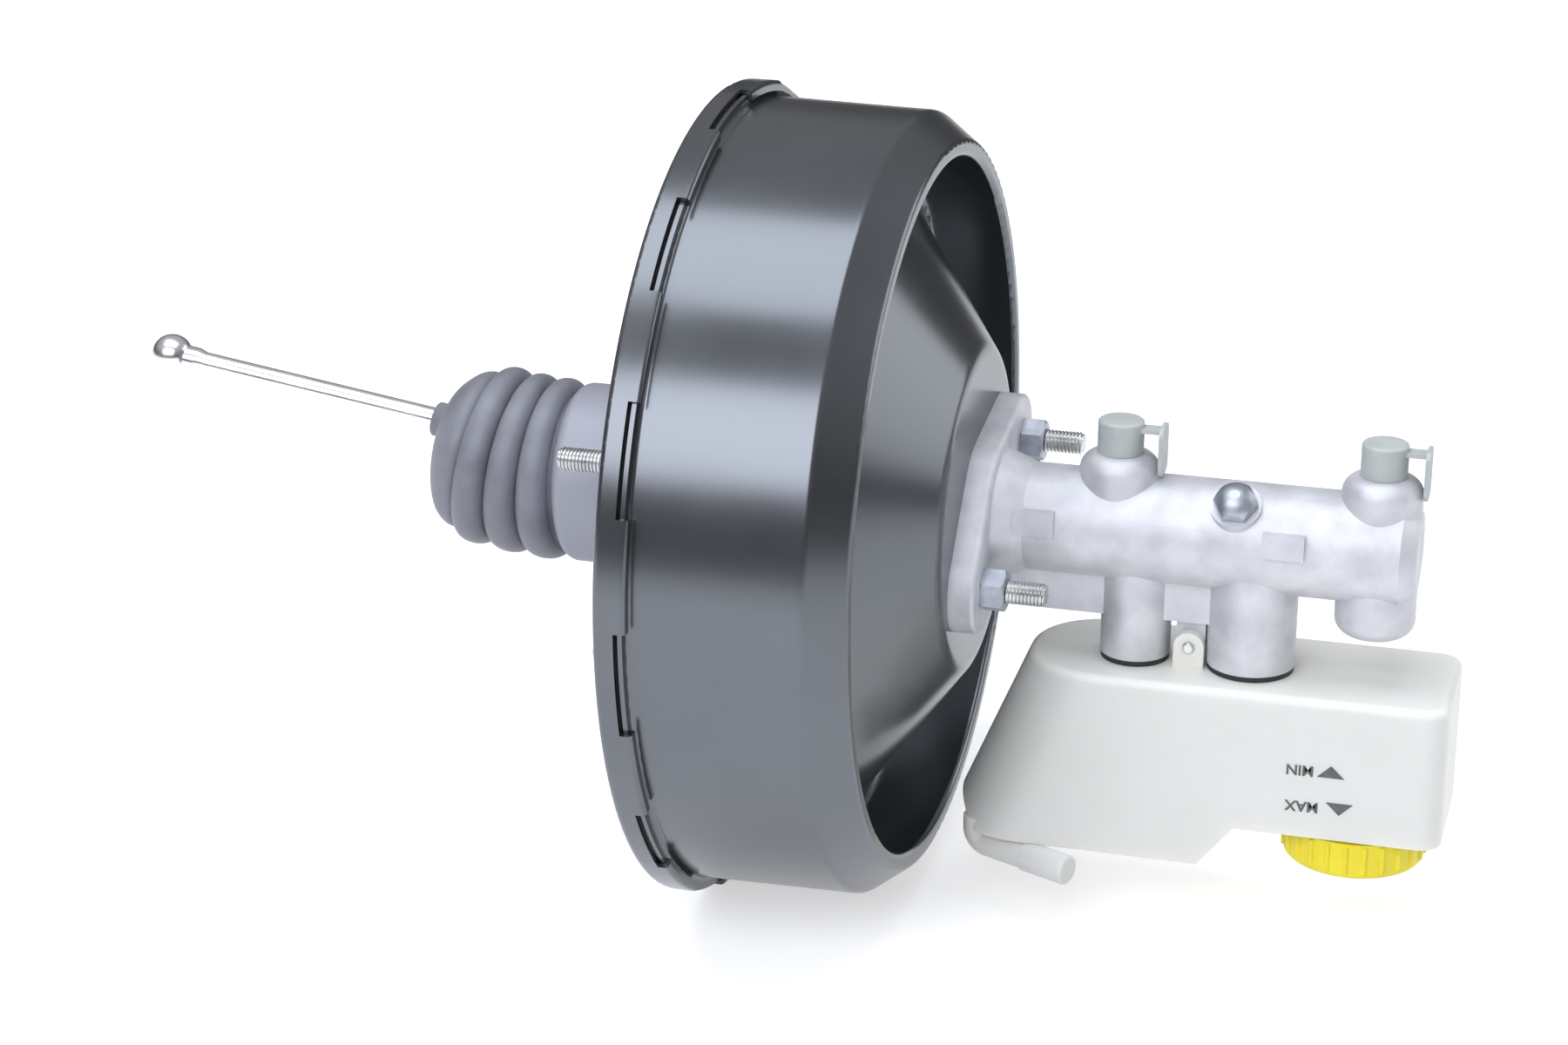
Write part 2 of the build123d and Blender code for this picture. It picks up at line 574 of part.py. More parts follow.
def stop_screw():
    """Hexagon-headed screw with a domed top, whose tip limits the front piston."""
    seat = CYL_R + STOP_BOSS_RISE
    shank = extrude(stop_screw_place(STOP_TIP_R) * Circle(STOP_SCREW_R), seat - STOP_TIP_R)
    head = extrude(stop_screw_place(seat) * RegularPolygon(STOP_HEAD_AF / sqrt(3), 6), STOP_HEAD_H)
    dome = stop_screw_place(seat - 1) * Sphere(STOP_HEAD_DOME)
    return (head & dome) + shank


def cylinder_o_ring():
    """Seal between the spigot and the front shell."""
    section = Pos(SEAT_X + SEAL_T / 2, SPIGOT_R + SEAL_T / 2) * Circle(SEAL_T / 2 - RUN)
    return revolve(section, axis=Axis.X)


def guide_bush():
    """Moulded bush that guides the rear piston at the mouth of the bore."""
    x = SEAT_X - SPIGOT_L
    inner = BORE_R + 0.05
    return turned(
        (x + 1.5, inner), (x + 1.5, BUSH_R - 0.05), (x + BUSH_DEPTH, BUSH_R - 0.05), (x + BUSH_DEPTH, inner)
    )


def snap_ring():
    """Open spring ring that keeps the guide bush in."""
    x = SEAT_X - SPIGOT_L
    inner = BORE_R + 0.9
    ring = turned((x + 0.3, inner), (x + 0.3, BUSH_R - 0.05), (x + 1.4, BUSH_R - 0.05), (x + 1.4, inner))
    return ring - Pos(x + 1, 0, -BUSH_R) * Box(4, 8, 10)


def primary_piston():
    """Rear piston: a deep recess for the output rod, two cup grooves and a spring spigot in front."""
    x = PRIMARY_X
    end = x + PRIMARY_L
    radius = BORE_R - RUN
    cup_x = x + PRIMARY_CUP
    last = end - 2 * CUP_W
    return turned(
        (x + RECESS, 0), (x + RECESS, RECESS_R), (x, RECESS_R), (x, radius), (cup_x, radius),
        (cup_x, CUP_ROOT_R), (cup_x + CUP_W, CUP_ROOT_R), (cup_x + CUP_W, radius), (last, radius),
        (last, CUP_ROOT_R), (last + CUP_W, CUP_ROOT_R), (last + CUP_W, radius), (end, radius),
        (end, PISTON_SPIGOT_R), (end + PISTON_SPIGOT_L, PISTON_SPIGOT_R), (end + PISTON_SPIGOT_L, 0),
    )


def secondary_piston():
    """Front piston: a waist for the stop screw, a cup groove at each end and spring spigots."""
    x = SECONDARY_X
    radius = BORE_R - RUN
    waist = STOP_SCREW_X - STOP_SCREW_R - STROKE * SECONDARY_SHARE - 1
    land = STOP_SCREW_X + STOP_SCREW_R + 0.5
    end = land + SECONDARY_TAIL
    rear_cup = x + CUP_EDGE
    front_cup = land + CUP_STEP
    return turned(
        (x - PISTON_SPIGOT_L, 0), (x - PISTON_SPIGOT_L, PISTON_SPIGOT_R), (x, PISTON_SPIGOT_R), (x, radius),
        (rear_cup, radius), (rear_cup, CUP_ROOT_R), (rear_cup + CUP_W, CUP_ROOT_R),
        (rear_cup + CUP_W, radius),
        (waist, radius), (waist, STOP_TIP_R - 1), (land, STOP_TIP_R - 1), (land, radius),
        (front_cup, radius), (front_cup, CUP_ROOT_R), (front_cup + CUP_W, CUP_ROOT_R),
        (front_cup + CUP_W, radius),
        (end, radius), (end, PISTON_SPIGOT_R), (end + PISTON_SPIGOT_L, PISTON_SPIGOT_R),
        (end + PISTON_SPIGOT_L, 0),
    )


def cup(x):
    """A lip seal in a groove that starts at x."""
    root = CUP_ROOT_R + 0.05
    lip = BORE_R - SOFT_GAP
    return turned(
        (x + 0.1, root), (x + 0.1, lip - 0.6), (x + CUP_W - 0.4, lip), (x + CUP_W - 0.4, lip - 1.1),
        (x + 1.4, lip - 1.6), (x + 1.4, root + 0.8), (x + CUP_W - 0.4, root + 0.8), (x + CUP_W - 0.4, root),
    )


def primary_cups():
    """The two seals of the rear piston."""
    return Compound(children=[cup(PRIMARY_X + PRIMARY_CUP), cup(PRIMARY_X + PRIMARY_L - 2 * CUP_W)])


def secondary_cups():
    """The two seals of the front piston."""
    land = STOP_SCREW_X + STOP_SCREW_R + 0.5
    return Compound(children=[cup(SECONDARY_X + CUP_EDGE), cup(land + CUP_STEP)])


def primary_spring():
    """Spring between the two pistons."""
    start = PRIMARY_X + PRIMARY_L + 0.1
    return coil(start, SECONDARY_X - 0.1, PISTON_SPRING_R, PISTON_SPRING_R, PISTON_WIRE, 5)


def secondary_spring():
    """Spring between the front piston and the end of the bore."""
    start = STOP_SCREW_X + STOP_SCREW_R + 0.5 + SECONDARY_TAIL + 0.1
    return coil(start, SEAT_X + CYL_L - BORE_END - 0.1, PISTON_SPRING_R, PISTON_SPRING_R, PISTON_WIRE, 5)


# ---- reservoir ------------------------------------------------------------------------------

def tank(inset):
    """The reservoir's outside form, or the hollow in it when inset by the wall."""
    side = Polyline(
        (TANK_TOP_X, TANK_TOP_Z), (TANK_FRONT_X, TANK_TOP_Z), (TANK_FRONT_X, TANK_STEP_Z),
        (TANK_STEP_X, TANK_STEP_Z),
        (TANK_STEP_X - TANK_STEP_SLOPE, TANK_LOW_Z), (TANK_REAR_X + TANK_EDGE[0], TANK_LOW_Z),
        (TANK_REAR_X, TANK_LOW_Z + TANK_EDGE[1]), close=True,
    )
    face = make_face(side.edges())
    if inset:
        face = offset(face, -inset, kind=Kind.INTERSECTION)
    width = TANK_FAR_Y - TANK_NEAR_Y - 2 * inset
    block = extrude(Plane((0, TANK_FAR_Y - inset, 0), x_dir=(1, 0, 0), z_dir=(0, -1, 0)) * face, width)
    upright = [edge for edge in block.edges() if abs(edge.tangent_at(0.5).Z) > 0.5]
    rear = [edge for edge in upright if edge.center().X < TANK_TOP_X and edge.length > TANK_H / 2]
    block = fillet(rear, TANK_REAR_BEND - inset)
    front_x = TANK_FRONT_X - inset
    front = [edge for edge in block.edges() if edge.center().X > front_x - 0.1]
    front = [edge for edge in front if abs(edge.tangent_at(0.5).Z) > 0.9]
    return fillet(front, TANK_BEND - inset)


def reservoir_body():
    """Moulded tank with a filler neck, two nipples, a hose nozzle and the two ears for its pin."""
    body = tank(0)
    body = fillet(body.edges().group_by(Axis.Z)[-1], TANK_TOP_BEND)
    body += post(FILLER_R, FILLER_LOW_Z, TANK_STEP_Z + 1, CAP_X)
    for x, radius in ((REAR_TOWER_X, REAR_NIPPLE_R), (FRONT_TOWER_X, FRONT_NIPPLE_R)):
        body += post(radius, TANK_TOP_Z - 1, TOWER_MOUTH_Z + NIPPLE_L, x)
    for side in (-1, 1):
        y = side * (LUG_T / 2 + EAR_GAP + EAR_T / 2)
        ear = Pos(PIN_X, y, (PIN_Z + TANK_TOP_Z) / 2) * Box(EAR_W, EAR_T, PIN_Z - TANK_TOP_Z + 1)
        body += ear + Pos(PIN_X, y, PIN_Z) * Rot(90, 0, 0) * Cylinder(EAR_W / 2, EAR_T)
    body -= Pos(PIN_X, 0, PIN_Z) * Rot(90, 0, 0) * Cylinder(PIN_R + 0.05, 40)
    body += hose_nozzle()
    body -= tank(TANK_WALL)
    body -= hose_pipe(HOSE_BORE_R, -1)
    body -= post(FILLER_R - TANK_WALL, FILLER_LOW_Z - 1, TANK_STEP_Z + 5, CAP_X)
    for x, radius in ((REAR_TOWER_X, REAR_NIPPLE_R), (FRONT_TOWER_X, FRONT_NIPPLE_R)):
        body -= post(radius - TANK_WALL, TANK_TOP_Z - 5, TOWER_MOUTH_Z + NIPPLE_L + 1, x)
    return body


def hose_way():
    """Direction of the nozzle's straight end."""
    return (Vector(*HOSE_END, HOSE_Z) - Vector(*HOSE_BEND, HOSE_Z)).normalized()


def hose_pipe(radius, back):
    """Round bar along the nozzle: down out of the tank's floor, then level, ending short of the tip."""
    end = Vector(*HOSE_END, HOSE_Z) - hose_way() * back
    path = FilletPolyline((*HOSE_BEND, TANK_LOW_Z + 4), (*HOSE_BEND, HOSE_Z), end, radius=HOSE_BEND_R)
    return sweep(Plane(path @ 0, z_dir=path % 0) * Circle(radius), path=path)


def hose_nozzle():
    """Bent nozzle under the tank with a thinner barbed end."""
    way = hose_way()
    tip = Vector(*HOSE_END, HOSE_Z)
    low = (Align.CENTER, Align.CENTER, Align.MIN)
    pipe = hose_pipe(HOSE_R, NOZZLE_CAP_L)
    tip_l = NOZZLE_CAP_L + 1
    pipe += Plane(tip - way * tip_l, z_dir=way) * Cylinder(HOSE_TIP_R, tip_l, align=low)
    for back in HOSE_BARBS:
        pipe += Plane(tip - way * back, z_dir=way) * Cone(HOSE_BARB_R, HOSE_TIP_R, 3.5, align=low)
    return pipe


def nozzle_cap():
    """Transit cap pushed over the end of the hose nozzle."""
    way = hose_way()
    place = Plane(Vector(*HOSE_END, HOSE_Z) - way * (NOZZLE_CAP_L - 0.1), z_dir=way)
    low = (Align.CENTER, Align.CENTER, Align.MIN)
    shell = place * Cylinder(NOZZLE_CAP_R, NOZZLE_CAP_L + 2, align=low)
    shell = fillet(shell.edges().filter_by(GeomType.CIRCLE).sort_by(Axis.X)[-1], 1.2)
    return shell - place * Cylinder(HOSE_BARB_R + 0.05, NOZZLE_CAP_L + 0.2, align=low)


def reservoir_grommets():
    """Two rubber grommets between the cylinder's towers and the reservoir's nipples."""
    rings = []
    places = (REAR_TOWER_X, REAR_TOWER_R, REAR_NIPPLE_R), (FRONT_TOWER_X, FRONT_TOWER_R, FRONT_NIPPLE_R)
    for x, tower, nipple in places:
        ring = post(tower - TOWER_WALL - 0.05, TOWER_MOUTH_Z, TOWER_MOUTH_Z + GROMMET_L, x)
        ring += post(tower - 0.3, TANK_TOP_Z + 0.05, TOWER_MOUTH_Z - 0.05, x)
        ring += post(nipple + 2, TOWER_MOUTH_Z - 0.1, TOWER_MOUTH_Z + 1, x)
        rings.append(ring - post(nipple + 0.05, TANK_TOP_Z - 1, TOWER_MOUTH_Z + GROMMET_L + 1, x))
    return Compound(children=rings)


def reservoir_pin():
    """Pin through the reservoir's ears and the lug of the cylinder."""
    length = LUG_T + 2 * EAR_GAP + 2 * EAR_T + 2
    pin = Pos(PIN_X, 0, PIN_Z) * Rot(90, 0, 0) * Cylinder(PIN_R, length)
    return chamfer(pin.edges().filter_by(GeomType.CIRCLE), 0.5)


def filler_strainer():
    """Basket strainer that hangs in the filler neck."""
    outer = FILLER_R - TANK_WALL - 0.1
    rim = FILLER_LOW_Z
    basket = post(outer, rim + 0.1, rim + STRAINER_L, CAP_X)
    basket -= post(outer - STRAINER_T, rim - 1, rim + STRAINER_L - STRAINER_T, CAP_X)
    slot = Box(4 * outer, STRAINER_SLOT, STRAINER_L - 8)
    for turn in (0, 60, 120):
        basket -= Pos(CAP_X, 0, rim + STRAINER_L / 2 + 1) * Rot(0, 0, turn) * slot
    return basket


def turned_up(*profile):
    """A solid turned round the Z axis, from a closed profile of (radius, z) points."""
    plane = Plane((0, 0, 0), x_dir=(1, 0, 0), z_dir=(0, -1, 0))
    return revolve(plane * make_face(Polyline(*profile, close=True).edges()), axis=Axis.Z)


def cap_seal():
    """Rubber bellows seal that rides in the cap and closes the filler neck."""
    low = SEAL_Z
    high = SEAL_Z + SEAL_PLUG_H
    seal = turned_up(
        (0, high), (SEAL_PLUG_R - 2, high), (SEAL_PLUG_R, low), (FILLER_R, low), (FILLER_R, low + CAP_SEAL_T),
        (SEAL_PLUG_R + 1, low + CAP_SEAL_T), (SEAL_PLUG_R - 1, high + CAP_SEAL_T), (0, high + CAP_SEAL_T),
    )
    return Pos(CAP_X, 0, 0) * seal


def reservoir_cap():
    """Screw cap: a disc with a grip skirt, ribbed round its edge."""
    low = CAP_LOW_Z
    top = low + CAP_H
    cap = post(CAP_R, low, top, CAP_X)
    cap = fillet(cap.edges().group_by(Axis.Z)[0], 2.0)
    cap -= post(FILLER_R + CAP_GAP, low + CAP_WALL, top + 1, CAP_X)
    rib = post(CAP_RIB_R, low + 2.5, top - 1, CAP_X + CAP_R)
    for index in range(CAP_RIBS):
        cap += Pos(CAP_X, 0, 0) * Rot(0, 0, index * 360 / CAP_RIBS) * Pos(-CAP_X, 0, 0) * rib
    return cap


# ---- power piston ---------------------------------------------------------------------------

def diaphragm():
    """Rubber diaphragm: a bead in the crimp, one rolling fold, a layer behind the plate, an inner bead."""
    back = PLATE_X - RUBBER - SOFT_GAP
    lip = PLATE_R + SOFT_GAP
    skin = [
        (back, HUB_R + 0.3), (back, FACE_R + 1), (DISH_X, lip + RUBBER), (FOLD_X, lip + RUBBER),
        (FOLD_X, FOLD_R), (BEAD_X - RUBBER, FOLD_R), (BEAD_X - RUBBER, BEAD_R),
    ]
    bend = FOLD_W / 2 - 0.1
    section = wall_section(skin, [3.0, 4.0, bend, bend, 2.2], RUBBER)
    bead = Pos(BEAD_X, BEAD_R) * Circle(BEAD_WIRE)
    hub = Pos(back - 0.5, HUB_R + 1.7) * Rectangle(2.0, 2.6)
    return revolve(section + bead + hub, axis=Axis.X)


def diaphragm_plate():
    """Pressed steel plate that the diaphragm pushes on."""
    outline = [
        (PLATE_X, HUB_R + 0.1), (PLATE_X, FACE_R + 0.3), (PLATE_DISH_X, PLATE_R), (PLATE_LIP_X, PLATE_R),
    ]
    return pressing(outline, [4.0, 5.0])


def valve_body():
    """Moulded power-piston hub: rear tube with the valve seat, hub flange, front nose for the output rod."""
    front = PLATE_X + SHEET + 0.1
    body = turned(
        (TUBE_X, TUBE_BORE_R), (TUBE_X, TUBE_R), (HUB_X, TUBE_R), (HUB_X, HUB_R), (front, HUB_R),
        (front, HUB_FLANGE_R), (front + HUB_FLANGE_T, HUB_FLANGE_R), (front + HUB_FLANGE_T, NOSE_TUBE_R),
        (NOSE_TUBE_X, NOSE_TUBE_R),
        (NOSE_TUBE_X, REACTION_R), (REACTION_X, REACTION_R), (REACTION_X, PLUNGER_R + RUN),
        (HUB_X - 1, PLUNGER_R + RUN),
        (HUB_X - 1, SEAT_RING_R - POPPET_WALL), (SEAT_RING_X, SEAT_RING_R - POPPET_WALL),
        (SEAT_RING_X, SEAT_RING_R),
        (HUB_X - 1, SEAT_RING_R), (HUB_X - 1, TUBE_BORE_R),
    )
    for turn in (0, 180):
        y, z = around(PASSAGE_R, turn)
        body -= bar(PASSAGE_BORE_R, HUB_X - 5, front + 5, y, z)
    slot = Box(KEY_T + 0.6, 2 * NOSE_TUBE_R + 2, 2 * KEY_HALF_W + 0.6)
    return body - Pos(KEY_X, 0, 0) * slot


def stop_key():
    """Fork-shaped key through the nose, astride the plunger's waist."""
    key = Box(KEY_T, 2 * NOSE_TUBE_R - 1, 2 * KEY_HALF_W)
    slot = Pos(0, -NOSE_TUBE_R / 2, 0) * Box(KEY_T + 1, NOSE_TUBE_R, 2 * WAIST_R + 0.6)
    eye = Rot(0, 90, 0) * Cylinder(WAIST_R + 0.3, KEY_T + 1)
    return Pos(KEY_X, 0, 0) * (key - slot - eye)


def valve_plunger():
    """Plunger: a socket for the rod's ball behind, a waist for the key, a flat end in front."""
    end = REACTION_X - PLUNGER_TRAVEL
    waist_front = KEY_X + KEY_T / 2 + PLUNGER_TRAVEL
    waist_rear = KEY_X - KEY_T / 2 - PLUNGER_TRAVEL - 0.4
    socket = ROD_BALL_R + RUN
    lip = (PIVOT_X - sqrt(socket ** 2 - SOCKET_LIP_R ** 2), SOCKET_LIP_R)
    sides = Polyline(
        lip, (PLUNGER_X, PLUNGER_MOUTH_R), (PLUNGER_X, PLUNGER_R), (waist_rear, PLUNGER_R),
        (waist_rear, WAIST_R),
        (waist_front, WAIST_R), (waist_front, PLUNGER_R), (end, PLUNGER_R), (end, 0), (PIVOT_X + socket, 0),
    )
    hollow = ThreePointArc((PIVOT_X + socket, 0), (PIVOT_X, socket), lip)
    return revolve(make_face((sides + hollow).edges()), axis=Axis.X)


def reaction_disc():
    """Rubber disc that shares the load between the valve body and the plunger."""
    return bar(REACTION_R - 0.15, REACTION_X + 0.1, REACTION_X + REACTION_T)


def output_rod():
    """Output push rod with a broad head on the reaction disc and a domed tip in the rear piston."""
    x = REACTION_X + REACTION_T
    tip = PRIMARY_X + RECESS - JOINT_GAP
    head = bar(REACTION_R - 0.15, x, x + OUTPUT_HEAD_T)
    x += OUTPUT_HEAD_T
    neck = turned((x, 0), (x, OUTPUT_R + 3), (x + 4, OUTPUT_R), (x + 4, 0))
    shank = bar(OUTPUT_R, x + 4, tip)
    return head + neck + fillet(shank.edges().group_by(Axis.X)[-1], OUTPUT_R - 1.5)


def output_rod_retainer():
    """Thin steel cup clipped over the nose, which keeps the output rod in."""
    x = NOSE_TUBE_X - RETAINER_L
    face = REACTION_X + REACTION_T + OUTPUT_HEAD_T + 0.1
    return turned(
        (x, NOSE_TUBE_R + 0.1), (x, NOSE_TUBE_R + 1.1), (face + 1, NOSE_TUBE_R + 1.1),
        (face + 1, OUTPUT_R + 4),
        (face, OUTPUT_R + 4), (face, NOSE_TUBE_R + 0.1),
    )


def control_valve():
    """Rubber poppet with a bellows wall, which closes on the plunger and on the valve body's seat."""
    face = POPPET_X
    outer = TUBE_BORE_R - 0.1
    bead = face - POPPET_L + 3
    inner = POPPET_R - POPPET_WALL
    return turned(
        (face, POPPET_BORE_R), (face, POPPET_R), (face - 5, POPPET_R), (face - 8, POPPET_R + 3),
        (face - 11, POPPET_R),
        (bead, outer - 3), (bead, outer), (bead - 3, outer), (bead - 3, outer - 4.4), (face - 12, inner),
        (face - 8, inner + 2.7), (face - 5.5, inner), (face - 2.5, inner), (face - 2.5, POPPET_BORE_R),
    )


def control_valve_retainer():
    """Steel ring that holds the poppet's bead against the tube."""
    x = POPPET_X - POPPET_L - 0.1
    outer = TUBE_BORE_R - 0.05
    inner = POPPET_R - 4
    return turned(
        (x, outer), (x, inner), (x - 1, inner), (x - 1, outer - 1), (x - 4, outer - 1), (x - 4, outer)
    )


def poppet_spring():
    """Spring that presses the poppet forwards."""
    foot = POPPET_R - 2.7
    return coil(POPPET_X - POPPET_L, POPPET_X - 2.6, foot, foot - 1.4, 0.6, 4)


def air_silencer():
    """Foam ring in front of the filter."""
    x = TUBE_X + 0.5 + FILTER_L + 0.1
    outer = TUBE_BORE_R - 0.1
    return turned((x, SILENCER_R), (x, outer), (x + SILENCER_L, outer), (x + SILENCER_L, SILENCER_R))


def air_filter():
    """Felt ring in the rear of the tube, round the rod."""
    x = TUBE_X + 0.5
    outer = TUBE_BORE_R - 0.1
    return turned(
        (x, FILTER_R), (x, outer - 1), (x + 1, outer), (x + FILTER_L, outer), (x + FILTER_L, FILTER_R)
    )


def return_spring():
    """Main spring, from the valve body to the front shell."""
    front = PLATE_X + SHEET + 0.1 + HUB_FLANGE_T
    return coil(front + 0.1, SEAT_X - SHEET - BACKING_T - 0.1, SPRING_R, SPRING_R, SPRING_WIRE, 6)


def neck_seal():
    """Rubber lip seal between the neck and the valve body's tube."""
    outer = NECK_R - SHEET - 0.05
    inner = TUBE_R + SOFT_GAP
    x = SEAL_X
    return turned(
        (x, inner), (x, inner + 1.2), (x + 5, inner + 3), (x + 5, outer - 1.6), (x + 0.5, outer - 1.2),
        (x + 0.5, outer), (x + SEAL_L, outer), (x + SEAL_L, inner + 1.2), (x + 3, inner),
    )


def neck_bearing():
    """Moulded bearing ring that guides the valve body's tube."""
    outer = NECK_R - SHEET - 0.05
    x = SEAL_X + SEAL_L + 0.1
    return turned((x, TUBE_R + RUN), (x, outer), (x + BEARING_L, outer), (x + BEARING_L, TUBE_R + RUN))


# ---- input rod and boot ---------------------------------------------------------------------

def rod_place(distance):
    """Plane across the rod, at a distance back from its pivot."""
    tilt = radians(ROD_TILT)
    way = Vector(-cos(tilt), 0, sin(tilt))
    return Plane(Vector(PIVOT_X, 0, 0) + way * distance, x_dir=(0, 1, 0), z_dir=way)


def input_rod():
    """Input rod: a ball in the plunger, a thin neck, the shank and the ball that the pedal clips on."""
    low = (Align.CENTER, Align.CENTER, Align.MIN)
    rod = rod_place(0) * Sphere(ROD_BALL_R)
    rod += rod_place(ROD_BALL_R - 2) * Cylinder(ROD_NECK_R, 8, align=low)
    rod += rod_place(ROD_BALL_R + 5) * Cone(ROD_NECK_R, ROD_R, 4, align=low)
    rod += rod_place(ROD_BALL_R + 8.9) * Cylinder(ROD_R, ROD_L - ROD_BALL_R - 8.9 - 12, align=low)
    rod += rod_place(ROD_L - 13) * Cone(ROD_R, ROD_R + 0.9, 3, align=low)
    rod += rod_place(ROD_L - 10.1) * Cylinder(ROD_R + 0.9, 5, align=low)
    rod += rod_place(ROD_L) * Sphere(ROD_HEAD_R)
    return rod


def boot_fold():
    """One fold of the boot, about the Z axis from 0, with plain ends long enough to be mitred."""
    middle = BOOT_PITCH / 2
    rise = BOOT_R - BOOT_VALLEY_R
    crest = BOOT_CREST / 2
    slope = BOOT_FLANK
    inner = BOOT_VALLEY_R - BOOT_WALL
    fold = turned(
        (-2, BOOT_VALLEY_R), (middle - crest - slope, BOOT_VALLEY_R), (middle - crest, BOOT_R),
        (middle + crest, BOOT_R), (middle + crest + slope, BOOT_VALLEY_R), (BOOT_PITCH + 2, BOOT_VALLEY_R),
        (BOOT_PITCH + 2, inner), (middle + slope, inner), (middle + 0.6, inner + rise),
        (middle - 0.6, inner + rise),
        (middle - slope, inner), (-2, inner),
    )
    rims = [edge for edge in fold.edges().filter_by(GeomType.CIRCLE) if edge.radius > BOOT_R - 0.1]
    return Rot(0, -90, 0) * fillet(rims, BOOT_FOLD_BEND)


def boot_dome():
    """The boot's closed end, about the Z axis from 0."""
    inner = BOOT_DOME_R - BOOT_WALL
    floor = BOOT_DOME_L - BOOT_WALL
    dome = turned(
        (-2, BOOT_VALLEY_R), (1.2, BOOT_VALLEY_R), (3, BOOT_DOME_R), (BOOT_DOME_L, BOOT_DOME_R),
        (BOOT_DOME_L, 0),
        (floor, 0), (floor, inner), (4, inner), (2, BOOT_VALLEY_R - BOOT_WALL),
        (-2, BOOT_VALLEY_R - BOOT_WALL),
    )
    dome = fillet(dome.edges().filter_by(GeomType.CIRCLE).group_by(Axis.X)[-1], BOOT_DOME_BEND)
    hollow = [edge for edge in dome.edges().filter_by(GeomType.CIRCLE) if abs(edge.center().X - floor) < 0.01]
    return Rot(0, -90, 0) * fillet(hollow, BOOT_DOME_BEND - BOOT_WALL)


def boot():
    """Rubber dust boot: hooked in the neck's mouth, three folds mitred in a bend, a domed end on the rod."""
    groove = NECK_MOUTH_R - 0.3
    inner = BOOT_VALLEY_R - BOOT_WALL
    mouth = NECK_X + SHEET
    lip = mouth + 0.2 + BOOT_HOOK
    skin = turned(
        (lip, groove - BOOT_WALL), (lip, groove + 1.2), (mouth + 0.2, groove + 1.2), (mouth + 0.2, groove),
        (NECK_X - 0.2, groove), (NECK_X - 0.2, BOOT_VALLEY_R), (BOOT_START_X - 2, BOOT_VALLEY_R),
        (BOOT_START_X - 2, inner), (NECK_X - 0.2, inner), (NECK_X - 0.2, groove - BOOT_WALL),
    )
    centre = Vector(BOOT_START_X, 0, 0)
    way = Vector(-1, 0, 0)
    for index, tilt in enumerate(BOOT_TILTS):
        turned_way = Vector(-cos(radians(tilt)), 0, sin(radians(tilt)))
        mitre = Plane(centre, z_dir=way + turned_way)
        piece = boot_fold() if index < len(BOOT_TILTS) - 1 else boot_dome()
        piece = Plane(centre, x_dir=(0, 1, 0), z_dir=turned_way) * piece
        skin = split(skin, bisect_by=mitre, keep=Keep.BOTTOM) + split(piece, bisect_by=mitre, keep=Keep.TOP)
        centre += turned_way * BOOT_PITCH
        way = turned_way
    end = (PIVOT_X - BOOT_X) / cos(radians(ROD_TILT))
    low = (Align.CENTER, Align.CENTER, Align.MIN)
    skin += rod_place(end - 3) * Cylinder(BOOT_COLLAR_R, BOOT_COLLAR_L, align=low)
    return skin - rod_place(end - 10) * Cylinder(ROD_R + SOFT_GAP, BOOT_COLLAR_L + 13, align=low)


# ---- check valve ------------------------------------------------------------------------------

def at_valve(*profile):
    """A solid turned round the check valve's own axis, from (x, radius) points."""
    return Pos(0, *valve_place()) * turned(*profile)


def check_valve_grommet():
    """Rubber grommet in the turret's hole."""
    face = TURRET_X
    back = TURRET_X - SHEET
    bore = VALVE_STUB_R + 0.1
    waist = VALVE_HOLE_R - 0.1
    return at_valve(
        (back - 3, bore), (back - 3, waist), (back - 0.1, waist + 2), (back - 0.1, waist),
        (face + 0.1, waist),
        (face + 0.1, waist + 2.5), (face + 2.5, waist + 2.5), (face + 2.5, bore),
    )


def check_valve_body():
    """Moulded valve: a stub in the grommet, a flange, a round chamber and a nozzle to one side."""
    y, z = valve_place()
    stub = TURRET_X - 7
    flange = TURRET_X + 2.6
    body = at_valve(
        (stub, 0), (stub, VALVE_STUB_R - 1), (stub + 2, VALVE_STUB_R), (flange, VALVE_STUB_R),
        (flange, VALVE_FLANGE_R), (flange + 2, VALVE_FLANGE_R), (flange + 2, VALVE_CHAMBER_R),
        (VALVE_TOP_X - 1, VALVE_CHAMBER_R), (VALVE_TOP_X, VALVE_CHAMBER_R - 1), (VALVE_TOP_X, 0),
    )
    nozzle_x = VALVE_TOP_X - VALVE_NOZZLE_R
    collar_z = z - VALVE_COLLAR_DROP
    tip_z = collar_z - VALVE_NOZZLE_L
    nozzle = post(VALVE_NOZZLE_R, tip_z, z, nozzle_x, y)
    body += chamfer(nozzle.edges().group_by(Axis.Z)[0], 0.8)
    body += post(VALVE_COLLAR_R, collar_z, z - VALVE_CHAMBER_R + 1, nozzle_x, y)
    body -= post(VALVE_NOZZLE_BORE_R, tip_z - 1, z, nozzle_x, y)
    hollow = VALVE_DISC_R + 1
    return body - at_valve(
        (stub - 1, 0), (stub - 1, VALVE_STUB_BORE_R), (VALVE_SEAT_X, VALVE_STUB_BORE_R),
        (VALVE_SEAT_X, hollow),
        (VALVE_TOP_X - 1.5, hollow), (VALVE_TOP_X - 1.5, 0),
    )


def check_valve_disc():
    """Rubber disc that lifts off its seat when the engine draws air out of the drum."""
    x = VALVE_SEAT_X + 0.05
    return at_valve((x, 0), (x, VALVE_DISC_R), (x + VALVE_DISC_T, VALVE_DISC_R), (x + VALVE_DISC_T, 0))


def check_valve_spring():
    """Light spring behind the disc."""
    start = VALVE_SEAT_X + VALVE_DISC_T + 0.15
    return Pos(0, *valve_place()) * coil(start, VALVE_TOP_X - 1.6, 4.0, 4.0, 0.35, 4)


